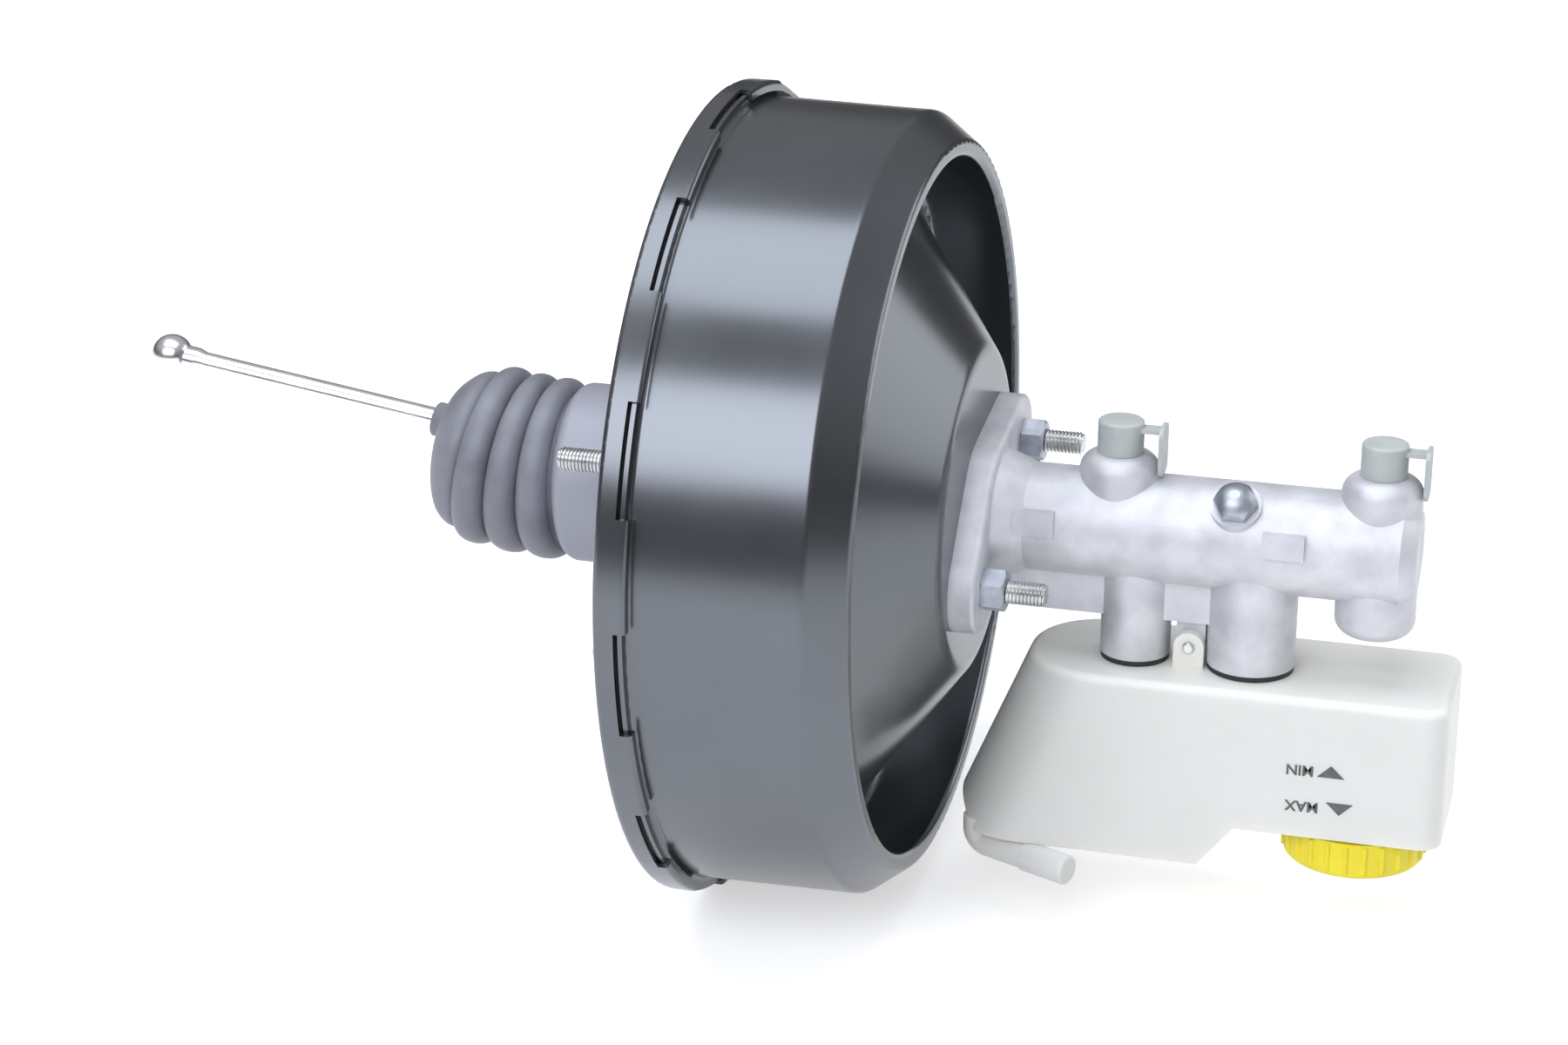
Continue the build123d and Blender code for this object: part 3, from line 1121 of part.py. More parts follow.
NODES = (
    front_shell, rear_shell, rear_mounting_studs, stud_plate, cylinder_studs, cylinder_nuts,
    neck_seal, neck_bearing,
    boot, diaphragm, diaphragm_plate, valve_body, stop_key, valve_plunger, reaction_disc, output_rod,
    output_rod_retainer, control_valve, control_valve_retainer, poppet_spring, air_silencer,
    air_filter, return_spring,
    input_rod, master_cylinder_body, cylinder_o_ring, outlet_port_plugs, stop_screw, guide_bush, snap_ring,
    primary_piston, primary_cups, primary_spring, secondary_piston, secondary_cups, secondary_spring,
    reservoir_body, reservoir_grommets, reservoir_pin, filler_strainer, reservoir_cap, cap_seal, nozzle_cap,
    check_valve_grommet, check_valve_body, check_valve_disc, check_valve_spring,
)

os.makedirs("parts", exist_ok=True)
for node in NODES:
    save(node(), node.__name__)
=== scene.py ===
from math import cos, pi, radians, sin, sqrt, tan
import bmesh
import bpy
from mathutils import Matrix, Vector


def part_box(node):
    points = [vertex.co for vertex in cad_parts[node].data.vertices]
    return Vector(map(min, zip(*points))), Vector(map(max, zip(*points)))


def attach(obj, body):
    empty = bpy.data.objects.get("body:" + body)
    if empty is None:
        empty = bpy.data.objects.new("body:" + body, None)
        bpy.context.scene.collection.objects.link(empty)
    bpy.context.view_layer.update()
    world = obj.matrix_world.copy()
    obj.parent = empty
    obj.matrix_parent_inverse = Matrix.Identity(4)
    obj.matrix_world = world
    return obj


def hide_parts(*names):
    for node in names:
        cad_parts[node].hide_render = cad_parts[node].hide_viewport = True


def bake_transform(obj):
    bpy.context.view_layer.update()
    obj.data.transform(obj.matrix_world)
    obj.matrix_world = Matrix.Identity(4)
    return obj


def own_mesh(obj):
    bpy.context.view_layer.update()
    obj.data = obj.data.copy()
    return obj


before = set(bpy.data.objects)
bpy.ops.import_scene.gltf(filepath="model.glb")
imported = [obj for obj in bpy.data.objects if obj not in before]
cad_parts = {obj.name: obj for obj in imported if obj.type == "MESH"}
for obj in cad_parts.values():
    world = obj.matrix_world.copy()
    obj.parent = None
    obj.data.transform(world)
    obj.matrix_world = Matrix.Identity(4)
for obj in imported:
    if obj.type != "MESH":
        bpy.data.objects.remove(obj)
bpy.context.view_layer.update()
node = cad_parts
MM = 0.001

# ---- View, light and table ---------------------------------------------------------------------
# The unit lies on a pale table in soft studio light: a large lamp overhead, a second one low in
# front of it, and a dark gap between them, all of which show as bands in the black paint. A third
# lamp lights the cylinder's end.

VIEW_TARGET = Vector((37.7, 0.0, -11.8)) * MM
VIEW_AZIMUTH = 16.0
VIEW_ELEVATION = 20.5
VIEW_DISTANCE = 1186.5 * MM
STRIP_X = -0.2
STRIP_LENGTH = 1.4
END_LAMP_AZIMUTH = 116.0
END_LAMP_ELEVATION = 21.0
END_LAMP_DISTANCE = 1.8
TABLE_HEIGHT = -141.5 * MM
TABLE_SIDE = 2.6
TABLE_NEAR = -1.7
TABLE_FAR = 3.4
GLOW_NEAR = 0.54
GLOW_FAR = 1.0
GLOW_FROM = 0.5
GLOW_TO = 1.6
# The room's walls, as the paint mirrors them: (height, tone), 0 straight below and 1 straight above.
WALL_TONES = ((0.44, 0.75), (0.47, 0.12), (0.6, 0.10), (0.68, 0.30))


def towards(azimuth, elevation):
    """Direction from the unit to a place seen at these angles, in degrees; azimuth 0 is its near side."""
    turn = radians(azimuth)
    rise = radians(elevation)
    return Vector((sin(turn) * cos(rise), -cos(turn) * cos(rise), sin(rise)))


def facing_unit(place):
    """Rotation that turns a camera or lamp at this place towards the unit."""
    return (VIEW_TARGET - place).to_track_quat("-Z", "Y").to_euler()


camera = bpy.data.objects.new("camera", bpy.data.cameras.new("camera"))
camera.data.lens = 78.0
camera.data.sensor_width = 36.0
camera.data.clip_end = 20.0
camera.location = VIEW_TARGET + towards(VIEW_AZIMUTH, VIEW_ELEVATION) * VIEW_DISTANCE
camera.rotation_euler = facing_unit(camera.location)
bpy.context.scene.collection.objects.link(camera)
bpy.context.scene.camera = camera
bpy.context.scene.view_settings.view_transform = "Standard"


def area_lamp(name, length, width, power, colour, place, rotation):
    """A rectangular soft lamp."""
    lamp = bpy.data.objects.new(name, bpy.data.lights.new(name, "AREA"))
    lamp.data.shape = "RECTANGLE"
    lamp.data.size = length
    lamp.data.size_y = width
    lamp.data.energy = power
    lamp.data.color = colour
    lamp.location = place
    lamp.rotation_euler = rotation
    bpy.context.scene.collection.objects.link(lamp)


def strip_lamp(name, rise, distance, width, power, colour):
    """A long lamp in line with the drum's axis, turned towards it; rise is its angle above level."""
    angle = radians(rise)
    place = (STRIP_X, -cos(angle) * distance, sin(angle) * distance)
    area_lamp(name, STRIP_LENGTH, width, power, colour, place, (pi / 2 - angle, 0, 0))


strip_lamp("overhead_lamp", rise=84.0, distance=1.3, width=0.76, power=11.5, colour=(0.88, 0.92, 1.0))
strip_lamp("front_lamp", rise=34.0, distance=1.4, width=0.68, power=13.5, colour=(0.90, 0.92, 1.0))
end_lamp_place = VIEW_TARGET + towards(END_LAMP_AZIMUTH, END_LAMP_ELEVATION) * END_LAMP_DISTANCE
area_lamp(
    "end_lamp", length=1.5, width=1.0, power=9.0, colour=(0.95, 0.97, 1.0),
    place=end_lamp_place, rotation=facing_unit(end_lamp_place),
)


def link(tree, source, output, target, socket):
    """Join an output of one shader node to an input of another."""
    tree.links.new(source.outputs[output], target.inputs[socket])


room = bpy.data.worlds.new("studio")
room.use_nodes = True
bpy.context.scene.world = room
tree = room.node_tree
tree.nodes.clear()
room_out = tree.nodes.new("ShaderNodeOutputWorld")
room_mix = tree.nodes.new("ShaderNodeMixShader")
room_white = tree.nodes.new("ShaderNodeBackground")
room_walls = tree.nodes.new("ShaderNodeBackground")
room_path = tree.nodes.new("ShaderNodeLightPath")
room_way = tree.nodes.new("ShaderNodeTexCoord")
room_axes = tree.nodes.new("ShaderNodeSeparateXYZ")
room_height = tree.nodes.new("ShaderNodeMapRange")
room_shades = tree.nodes.new("ShaderNodeValToRGB")
room_white.inputs["Color"].default_value = (1, 1, 1, 1)
room_height.inputs["From Min"].default_value = -1.0
shades = room_shades.color_ramp.elements
shades[0].position = 0.0
shades[0].color = (0.9, 0.9, 0.9, 1)
shades[1].position = 1.0
shades[1].color = (0.55, 0.56, 0.58, 1)
for height, tone in WALL_TONES:
    shades.new(height).color = (tone, tone, tone, 1)
link(tree, room_way, "Generated", room_axes, "Vector")
link(tree, room_axes, "Z", room_height, "Value")
link(tree, room_height, "Result", room_shades, "Fac")
link(tree, room_shades, "Color", room_walls, "Color")
link(tree, room_path, "Is Camera Ray", room_mix, "Fac")
link(tree, room_walls, "Background", room_mix, 1)
link(tree, room_white, "Background", room_mix, 2)
link(tree, room_mix, "Shader", room_out, "Surface")

table = bpy.data.objects.new("table", bpy.data.meshes.new("table"))
table.data.from_pydata(
    [(-TABLE_SIDE, TABLE_NEAR, TABLE_HEIGHT), (TABLE_SIDE, TABLE_NEAR, TABLE_HEIGHT),
     (TABLE_SIDE, TABLE_FAR, TABLE_HEIGHT), (-TABLE_SIDE, TABLE_FAR, TABLE_HEIGHT)], [], [(0, 1, 2, 3)]
)
bpy.context.scene.collection.objects.link(table)

# The laminate is matt under the lamps. To the eye it also glows a little, up to plain white away
# from the unit, so that it runs into the white room; polished parts mirror the near glow.
table_paint = bpy.data.materials.new("table_laminate")
table_paint.use_nodes = True
tree = table_paint.node_tree
tree.nodes.clear()
table_out = tree.nodes.new("ShaderNodeOutputMaterial")
table_add = tree.nodes.new("ShaderNodeAddShader")
table_matt = tree.nodes.new("ShaderNodeBsdfDiffuse")
table_glow = tree.nodes.new("ShaderNodeEmission")
table_path = tree.nodes.new("ShaderNodeLightPath")
table_place = tree.nodes.new("ShaderNodeTexCoord")
table_far_off = tree.nodes.new("ShaderNodeVectorMath")
table_seen = tree.nodes.new("ShaderNodeMapRange")
table_direct = tree.nodes.new("ShaderNodeMath")
table_mirrored = tree.nodes.new("ShaderNodeMath")
table_level = tree.nodes.new("ShaderNodeMath")
table_matt.inputs["Color"].default_value = (0.76, 0.76, 0.775, 1)
table_glow.inputs["Color"].default_value = (1, 1, 1, 1)
table_far_off.operation = "LENGTH"
table_seen.inputs["From Min"].default_value = GLOW_FROM
table_seen.inputs["From Max"].default_value = GLOW_TO
table_seen.inputs["To Min"].default_value = GLOW_NEAR
table_seen.inputs["To Max"].default_value = GLOW_FAR
table_direct.operation = "MULTIPLY"
table_mirrored.operation = "MULTIPLY"
table_mirrored.inputs[1].default_value = GLOW_NEAR
table_level.operation = "ADD"
link(tree, table_place, "Object", table_far_off, "Vector")
link(tree, table_far_off, "Value", table_seen, "Value")
link(tree, table_seen, "Result", table_direct, 0)
link(tree, table_path, "Is Camera Ray", table_direct, 1)
link(tree, table_path, "Is Glossy Ray", table_mirrored, 0)
link(tree, table_direct, "Value", table_level, 0)
link(tree, table_mirrored, "Value", table_level, 1)
link(tree, table_level, "Value", table_glow, "Strength")
link(tree, table_matt, "BSDF", table_add, 0)
link(tree, table_glow, "Emission", table_add, 1)
link(tree, table_add, "Shader", table_out, "Surface")
table.data.materials.append(table_paint)

# ---- Drum: front and rear shells ---------------------------------------------------------------
# Two deep-drawn steel pressings, crimped together all round with folded tabs and painted gloss
# black after assembly. Drawing leaves faint rings in the steel that show through the paint.

PAINT_GLOSS_INDEX = 2.2
RING_DEPTH = 0.012 * MM
# Between these two places along X, the rear paint blends into a lighter grey that is a painted sheen.
PAINTED_SHEEN_FROM = 12.0 * MM
PAINTED_SHEEN_TO = 4.0 * MM


def surface_finish(name, dark, light, patch, roughness, grain, depth, metallic=0.0):
    """A surface whose colour and gloss drift over patches, with a fine grain; sizes in mm."""
    material = bpy.data.materials.new(name)
    material.use_nodes = True
    tree = material.node_tree
    shader = tree.nodes["Principled BSDF"]
    shader.inputs["Metallic"].default_value = metallic
    place = tree.nodes.new("ShaderNodeTexCoord")
    drift = tree.nodes.new("ShaderNodeTexNoise")
    drift.inputs["Scale"].default_value = 1 / (patch * MM)
    drift.inputs["Detail"].default_value = 5
    tint = tree.nodes.new("ShaderNodeValToRGB")
    tint.color_ramp.elements[0].position = 0.3
    tint.color_ramp.elements[0].color = (*dark, 1)
    tint.color_ramp.elements[1].position = 0.7
    tint.color_ramp.elements[1].color = (*light, 1)
    gloss = tree.nodes.new("ShaderNodeMapRange")
    gloss.inputs["To Min"].default_value = roughness[0]
    gloss.inputs["To Max"].default_value = roughness[1]
    specks = tree.nodes.new("ShaderNodeTexNoise")
    specks.inputs["Scale"].default_value = 1 / (grain * MM)
    specks.inputs["Detail"].default_value = 3
    relief = tree.nodes.new("ShaderNodeBump")
    relief.inputs["Strength"].default_value = 1.0
    relief.inputs["Distance"].default_value = depth * MM
    link(tree, place, "Object", drift, "Vector")
    link(tree, place, "Object", specks, "Vector")
    link(tree, drift, "Fac", tint, "Fac")
    link(tree, drift, "Fac", gloss, "Value")
    link(tree, tint, "Color", shader, "Base Color")
    link(tree, gloss, "Result", shader, "Roughness")
    link(tree, specks, "Fac", relief, "Height")
    link(tree, relief, "Normal", shader, "Normal")
    return material


def dress(material, *names):
    """Give CAD pieces this finish."""
    for name in names:
        node[name].data.materials.clear()
        node[name].data.materials.append(material)


def shell_paint(name):
    """Hard gloss black paint over drawn steel, with the rings of drawing round the X axis."""
    material = surface_finish(
        name, dark=(0.012, 0.013, 0.014), light=(0.030, 0.031, 0.034),
        patch=60, roughness=(0.17, 0.27), grain=1.1, depth=0.003,
    )
    tree = material.node_tree
    shader = tree.nodes["Principled BSDF"]
    shader.inputs["IOR"].default_value = PAINT_GLOSS_INDEX
    shader.inputs["Specular Tint"].default_value = (0.86, 0.92, 1.0, 1)
    place = tree.nodes.new("ShaderNodeTexCoord")
    stretch = tree.nodes.new("ShaderNodeMapping")
    stretch.inputs["Scale"].default_value = (900, 14, 14)
    rings = tree.nodes.new("ShaderNodeTexNoise")
    rings.inputs["Scale"].default_value = 1.0
    rings.inputs["Detail"].default_value = 4
    relief = tree.nodes.new("ShaderNodeBump")
    relief.inputs["Distance"].default_value = RING_DEPTH
    link(tree, place, "Object", stretch, "Vector")
    link(tree, stretch, "Vector", rings, "Vector")
    link(tree, rings, "Fac", relief, "Height")
    link(tree, tree.nodes["Bump"], "Normal", relief, "Normal")
    link(tree, relief, "Normal", shader, "Normal")
    return material


drum_paint = shell_paint("gloss_black_paint")
rear_paint = shell_paint("black_paint_with_painted_sheen_at_the_back")

# Toward the back, on the rear shell's neck and face, the black is lightened to a bluish grey: a
# painted sheen standing in for the bright surroundings the neck mirrors. The paint there is also rougher.
tree = rear_paint.node_tree
rear_shader = tree.nodes["Principled BSDF"]
rear_place = tree.nodes.new("ShaderNodeTexCoord")
rear_axes = tree.nodes.new("ShaderNodeSeparateXYZ")
rear_sheen_share = tree.nodes.new("ShaderNodeMapRange")
rear_painted_sheen_tone = tree.nodes.new("ShaderNodeMix")
rear_gloss = tree.nodes.new("ShaderNodeMix")
rear_sheen_share.inputs["From Min"].default_value = PAINTED_SHEEN_FROM
rear_sheen_share.inputs["From Max"].default_value = PAINTED_SHEEN_TO
rear_painted_sheen_tone.data_type = "RGBA"
# Painted sheen: a lighter bluish grey standing in for the reflection on the neck and rear face.
rear_painted_sheen_tone.inputs["B"].default_value = (0.26, 0.26, 0.30, 1)
rear_gloss.inputs["B"].default_value = 0.55
link(tree, rear_place, "Object", rear_axes, "Vector")
link(tree, rear_axes, "X", rear_sheen_share, "Value")
link(tree, rear_sheen_share, "Result", rear_painted_sheen_tone, "Factor")
link(tree, rear_sheen_share, "Result", rear_gloss, "Factor")
link(tree, tree.nodes["Color Ramp"], "Color", rear_painted_sheen_tone, "A")
link(tree, tree.nodes["Map Range"], "Result", rear_gloss, "A")
link(tree, rear_painted_sheen_tone, "Result", rear_shader, "Base Color")
link(tree, rear_gloss, "Result", rear_shader, "Roughness")
dress(drum_paint, "front_shell")
dress(rear_paint, "rear_shell")

# ---- Rear mounting studs and flange studs --------------------------------------------------------
# M8 studs with a rolled thread, zinc plated: four through the rear face for the bulkhead, two
# through the front one that carry the master cylinder.

THREAD_PITCH = 1.25 * MM
THREAD_MAJOR = 3.98 * MM
THREAD_MINOR = 3.35 * MM
THREAD_STEPS = 6
STUD_HEAD_R = 7.0 * MM
STUD_HEAD_T = 2.5 * MM
STUD_HEAD_EDGE = 0.4 * MM
STUD_TIP_LENGTH = 1.2 * MM
STUD_TIP_TAPER = 0.7 * MM
STUD_SIDES = 36
REAR_CIRCLE = 62.5 * MM
REAR_TURN = radians(66.0)
REAR_THREAD_X = -5 * MM
FLANGE_CIRCLE = 34.0 * MM
FLANGE_TURN = radians(30.0)
FLANGE_THREAD_X = 112 * MM


def skin_rings(name, rings, closed=False):
    """A smooth mesh from rings of points, each joined to the next, its two ends filled or joined."""
    count = len(rings[0])
    mesh = bpy.data.meshes.new(name)
    faces = []
    for i in range(len(rings) if closed else len(rings) - 1):
        a = i * count
        b = ((i + 1) % len(rings)) * count
        for j in range(count):
            k = (j + 1) % count
            faces.append((a + j, a + k, b + k, b + j))
    if not closed:
        faces.append(tuple(reversed(range(count))))
        faces.append(tuple((len(rings) - 1) * count + j for j in range(count)))
    mesh.from_pydata([point for ring in rings for point in ring], [], faces)
    mesh.polygons.foreach_set("use_smooth", [True] * len(mesh.polygons))
    skin = bmesh.new()
    skin.from_mesh(mesh)
    bmesh.ops.recalc_face_normals(skin, faces=skin.faces)
    skin.to_mesh(mesh)
    skin.free()
    piece = bpy.data.objects.new(name, mesh)
    bpy.context.scene.collection.objects.link(piece)
    return piece


def threaded_stud(name, head_x, tip_x, thread_x, y, z):
    """A stud along X with a flat head, a plain shank and a thread that runs out at its tip."""
    way = 1 if tip_x > head_x else -1
    length = abs(tip_x - head_x)
    plain = abs(thread_x - head_x)

    def ring(along, radii):
        x = head_x + way * along
        turns = [2 * pi * j / STUD_SIDES for j in range(STUD_SIDES)]
        return [(x, y + r * cos(turn), z + r * sin(turn)) for turn, r in zip(turns, radii)]

    profile = [
        (0.0, STUD_HEAD_R - 0.5 * MM), (STUD_HEAD_EDGE, STUD_HEAD_R),
        (STUD_HEAD_T - STUD_HEAD_EDGE, STUD_HEAD_R), (STUD_HEAD_T, STUD_HEAD_R - STUD_HEAD_EDGE),
        (STUD_HEAD_T, THREAD_MAJOR), (plain, THREAD_MAJOR),
    ]
    rings = [ring(along, [r] * STUD_SIDES) for along, r in profile]
    steps = int((length - plain) / (THREAD_PITCH / THREAD_STEPS))
    for i in range(1, steps + 1):
        along = plain + (length - plain) * i / steps
        run_in = min(1.0, (along - plain) / THREAD_PITCH)
        tip = max(0.0, 1 - (length - along) / STUD_TIP_LENGTH)
        radii = []
        for j in range(STUD_SIDES):
            wave = abs(((along / THREAD_PITCH + way * j / STUD_SIDES) % 1.0) * 2 - 1)
            groove = (THREAD_MAJOR - THREAD_MINOR) * max(0.0, 1 - 1.25 * wave) * run_in
            radii.append(THREAD_MAJOR - groove - tip * STUD_TIP_TAPER)
        rings.append(ring(along, radii))
    return skin_rings(name, rings)


zinc = surface_finish(
    "zinc_plate", dark=(0.50, 0.52, 0.52), light=(0.72, 0.73, 0.70),
    patch=9, roughness=(0.22, 0.40), grain=0.5, depth=0.004, metallic=1.0,
)


def stud_circle(node_name, names, radius, turn, head_x, tip_x, thread_x):
    """Studs evenly round a circle about X, in place of one CAD node."""
    for i, name in enumerate(names):
        angle = turn + 2 * pi * i / len(names)
        stud = threaded_stud(name, head_x, tip_x, thread_x, radius * cos(angle), radius * sin(angle))
        stud.data.materials.append(zinc)
        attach(stud, "housing")
        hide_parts(node_name)


rear_low, rear_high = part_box("rear_mounting_studs")
stud_circle(
    "rear_mounting_studs", ("rear_stud_1", "rear_stud_2", "rear_stud_3", "rear_stud_4"),
    REAR_CIRCLE, REAR_TURN, head_x=rear_high.x, tip_x=rear_low.x, thread_x=REAR_THREAD_X,
)
flange_low, flange_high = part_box("cylinder_studs")
stud_circle(
    "cylinder_studs", ("flange_stud_far", "flange_stud_near"),
    FLANGE_CIRCLE, FLANGE_TURN, head_x=flange_low.x, tip_x=flange_high.x, thread_x=FLANGE_THREAD_X,
)

# ---- Boot ----------------------------------------------------------------------------------------
# Moulded rubber bellows: three rounded folds and a domed end. A lip hooks into the neck's mouth
# and a collar grips the input rod. Sizes here are in mm.

NECK_MOUTH = -38.0
BOOT_BEND = radians(11.0)
BOOT_BEND_LENGTH = 32.0
BOOT_WALL = 1.8
BOOT_SIDES = 72
FOLD_CRESTS = (7.5, 19.1, 30.7)
FOLD_HALF = 5.8
FOLD_STEPS = 9
FOLD_FULLNESS = 2.3
CREST_R = 32.3
VALLEY_R = 27.4
DOME_START = 36.4
DOME_LENGTH = 13.4
DOME_EDGE = 1.6
DOME_TIP_R = 8.0
DOME_STEPS = 14
DOME_FULLNESS = 0.95
DOME_SKIN = 1.2
SKIRT_LENGTH = 3.0
GATHER_START = 8.0
GATHER_LENGTH = 8.0
ROD_PIVOT = 7.0
ROD_TILT = radians(8.4)
# The lip round the edge of the neck's mouth, from inside it and back to the first valley.
MOUTH_LIP = (
    (-0.2, 24.9), (-3.6, 24.9), (-3.6, 27.8), (-1.7, 27.8), (-1.7, 26.6), (0.2, 26.6), (0.3, VALLEY_R),
)
# The collar on the rod, from the dome's tip out, round its end and back inside.
ROD_COLLAR = ((50.3, 6.9), (50.8, 6.2), (53.4, 6.2), (53.9, 5.7), (53.9, 4.1), (49.0, 4.1), (48.0, 8.0))


def boot_middle(along):
    """Place and tilt of the boot's middle line, this far from the neck's mouth."""
    steps = 24
    x = NECK_MOUTH
    z = 0.0
    for step in range(steps):
        share = min(1.0, along * (step + 0.5) / steps / BOOT_BEND_LENGTH)
        x -= cos(BOOT_BEND * share) * along / steps
        z += sin(BOOT_BEND * share) * along / steps
    return x, z, BOOT_BEND * min(1.0, max(0.0, along) / BOOT_BEND_LENGTH)


def boot_ring(along, radius, gather=0.0):
    """One ring square to the middle line; gather moves it over to the rod."""
    x, z, tilt = boot_middle(along)
    rod_z = (ROD_PIVOT - x) * tan(ROD_TILT)
    z += (rod_z - z) * gather
    ring = []
    for j in range(BOOT_SIDES):
        across = radius * cos(2 * pi * j / BOOT_SIDES)
        up = radius * sin(2 * pi * j / BOOT_SIDES)
        ring.append(((x + up * sin(tilt)) * MM, across * MM, (z + up * cos(tilt)) * MM))
    return ring


def fold_radius(along):
    """Radius over the folds: rounded crests between narrow valleys."""
    nearest = min(abs(along - crest) for crest in FOLD_CRESTS)
    share = min(1.0, nearest / FOLD_HALF)
    return VALLEY_R + (CREST_R - VALLEY_R) * sqrt(max(0.0, 1 - share ** FOLD_FULLNESS))


def dome_gather(along):
    """How far the dome's middle has moved over to the rod, from 0 at its edge to 1 at the collar."""
    return max(0.0, (along - DOME_START - GATHER_START) / GATHER_LENGTH) ** 2


boot_rubber = surface_finish(
    "boot_rubber", dark=(0.17, 0.175, 0.20), light=(0.25, 0.26, 0.295),
    patch=22, roughness=(0.40, 0.58), grain=0.35, depth=0.02,
)

# Folds: hooked in the mouth, out over three crests, and back inside at the wall's thickness.
fold_line = []
for crest in FOLD_CRESTS:
    for step in range(-FOLD_STEPS, FOLD_STEPS):
        along = crest + FOLD_HALF * sin(pi / 2 * step / FOLD_STEPS)
        fold_line.append((along, fold_radius(along)))
fold_line.append((DOME_START, VALLEY_R))
fold_rings = [boot_ring(along, radius) for along, radius in fold_line]
fold_rings += [boot_ring(along, radius - BOOT_WALL) for along, radius in reversed(fold_line)]
fold_rings += [boot_ring(along, radius) for along, radius in MOUTH_LIP]
boot_folds = skin_rings("boot_folds", fold_rings, closed=True)

# End: a skirt under the last valley, the dome, and the collar that grips the rod.
dome_line = [
    (DOME_START - SKIRT_LENGTH, VALLEY_R - 2.0), (DOME_START - 0.6, VALLEY_R - 1.4),
    (DOME_START - 0.2, VALLEY_R), (DOME_START + 0.5, VALLEY_R + 0.6),
    (DOME_START + DOME_EDGE, VALLEY_R + 1.2),
]
skirt_points = len(dome_line)
for step in range(1, DOME_STEPS + 1):
    turn = pi / 2 * (step / DOME_STEPS)
    dome_line.append((
        DOME_START + DOME_EDGE + (DOME_LENGTH - DOME_EDGE) * sin(turn) ** DOME_FULLNESS,
        DOME_TIP_R + (VALLEY_R + 1.3 - DOME_TIP_R) * cos(turn) ** DOME_FULLNESS,
    ))
dome_rings = [boot_ring(along, radius, dome_gather(along)) for along, radius in dome_line]
dome_rings += [boot_ring(along, radius, 1.0) for along, radius in ROD_COLLAR]
for along, radius in reversed(dome_line[skirt_points:-2]):
    dome_rings.append(boot_ring(along - DOME_SKIN, radius - BOOT_WALL, dome_gather(along)))
dome_rings.append(boot_ring(DOME_START - SKIRT_LENGTH, VALLEY_R - 2 * BOOT_WALL))
boot_end = skin_rings("boot_end", dome_rings, closed=True)
for piece in (boot_folds, boot_end):
    piece.data.materials.append(boot_rubber)
    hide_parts("boot")
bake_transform(boot_folds)
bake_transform(boot_end)

# ---- Input rod -----------------------------------------------------------------------------------
# Turned and zinc-plated steel rod; the ball at its rear end clips into the brake pedal.

rod_plate = surface_finish(
    "bright_zinc", dark=(0.78, 0.79, 0.80), light=(0.90, 0.90, 0.90),
    patch=14, roughness=(0.16, 0.30), grain=0.4, depth=0.003, metallic=1.0,
)
dress(rod_plate, "input_rod")

# ---- Master cylinder -----------------------------------------------------------------------------
# Gravity-cast aluminium body, left as cast apart from its machined ends and ports.

cast = surface_finish(
    "cast_aluminium", dark=(0.57, 0.575, 0.61), light=(0.75, 0.755, 0.78),
    patch=12, roughness=(0.50, 0.66), grain=0.9, depth=0.07, metallic=0.55,
)
dress(cast, "master_cylinder_body")

# ---- Nuts and stop screw -------------------------------------------------------------------------
# Zinc-plated hexagon nuts that clamp the cylinder's flange, and the screw that stops the front
# piston.

blue_zinc = surface_finish(
    "blue_zinc_plate", dark=(0.34, 0.37, 0.42), light=(0.52, 0.55, 0.60),
    patch=6, roughness=(0.38, 0.52), grain=0.4, depth=0.004, metallic=1.0,
)
dress(blue_zinc, "stop_screw", "cylinder_nuts")

# ---- Transit plugs -------------------------------------------------------------------------------
# Soft moulded plugs with a pull tab; they keep dirt out of the outlet ports until the pipes go on.

plug_plastic = surface_finish(
    "grey_plug_plastic", dark=(0.42, 0.46, 0.44), light=(0.52, 0.55, 0.53),
    patch=12, roughness=(0.40, 0.55), grain=0.5, depth=0.01,
)
dress(plug_plastic, "outlet_port_plugs")

# ---- Reservoir -----------------------------------------------------------------------------------
# Blow-moulded, milky polypropylene that lets the fluid level show through. It is pushed into two
# rubber grommets in the cylinder and held by one pin.

tank_plastic = surface_finish(
    "milky_polypropylene", dark=(0.93, 0.92, 0.79), light=(0.97, 0.96, 0.87),
    patch=45, roughness=(0.30, 0.42), grain=0.8, depth=0.012,
)
tank_shader = tank_plastic.node_tree.nodes["Principled BSDF"]
tank_shader.inputs["Subsurface Weight"].default_value = 0.35
tank_shader.inputs["Subsurface Radius"].default_value = (0.012, 0.011, 0.007)
tank_shader.inputs["Subsurface Scale"].default_value = 1.0
dress(tank_plastic, "reservoir_body")
white_nylon = surface_finish(
    "white_nylon", dark=(0.78, 0.78, 0.76), light=(0.86, 0.86, 0.84),
    patch=20, roughness=(0.35, 0.5), grain=0.6, depth=0.01,
)
dress(white_nylon, "filler_strainer", "nozzle_cap")
dress(zinc, "reservoir_pin")

# ---- Level marks ---------------------------------------------------------------------------------
# MIN and MAX with an arrow each, hot-printed in grey on the side of the tank; they stand upside
# down while the unit lies this way up.

TANK_SIDE_Y = -24.0 * MM
PRINT_DEPTH = 0.12 * MM
LETTER_SIZE = 5.2 * MM
LETTER_WEIGHT = 0.13 * MM
ARROW_HALF = 4.6
LETTER_TURN = Matrix.Rotation(pi, 4, "Y") @ Matrix.Rotation(pi / 2, 4, "X")

mark_ink = surface_finish(
    "grey_print", dark=(0.10, 0.10, 0.10), light=(0.15, 0.15, 0.145),
    patch=3, roughness=(0.5, 0.65), grain=0.3, depth=0.004,
)


def print_on_tank(piece):
    """Ink a mark and keep it on the tank."""
    bpy.context.scene.collection.objects.link(piece)
    piece.data.materials.append(mark_ink)
    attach(piece, "housing")


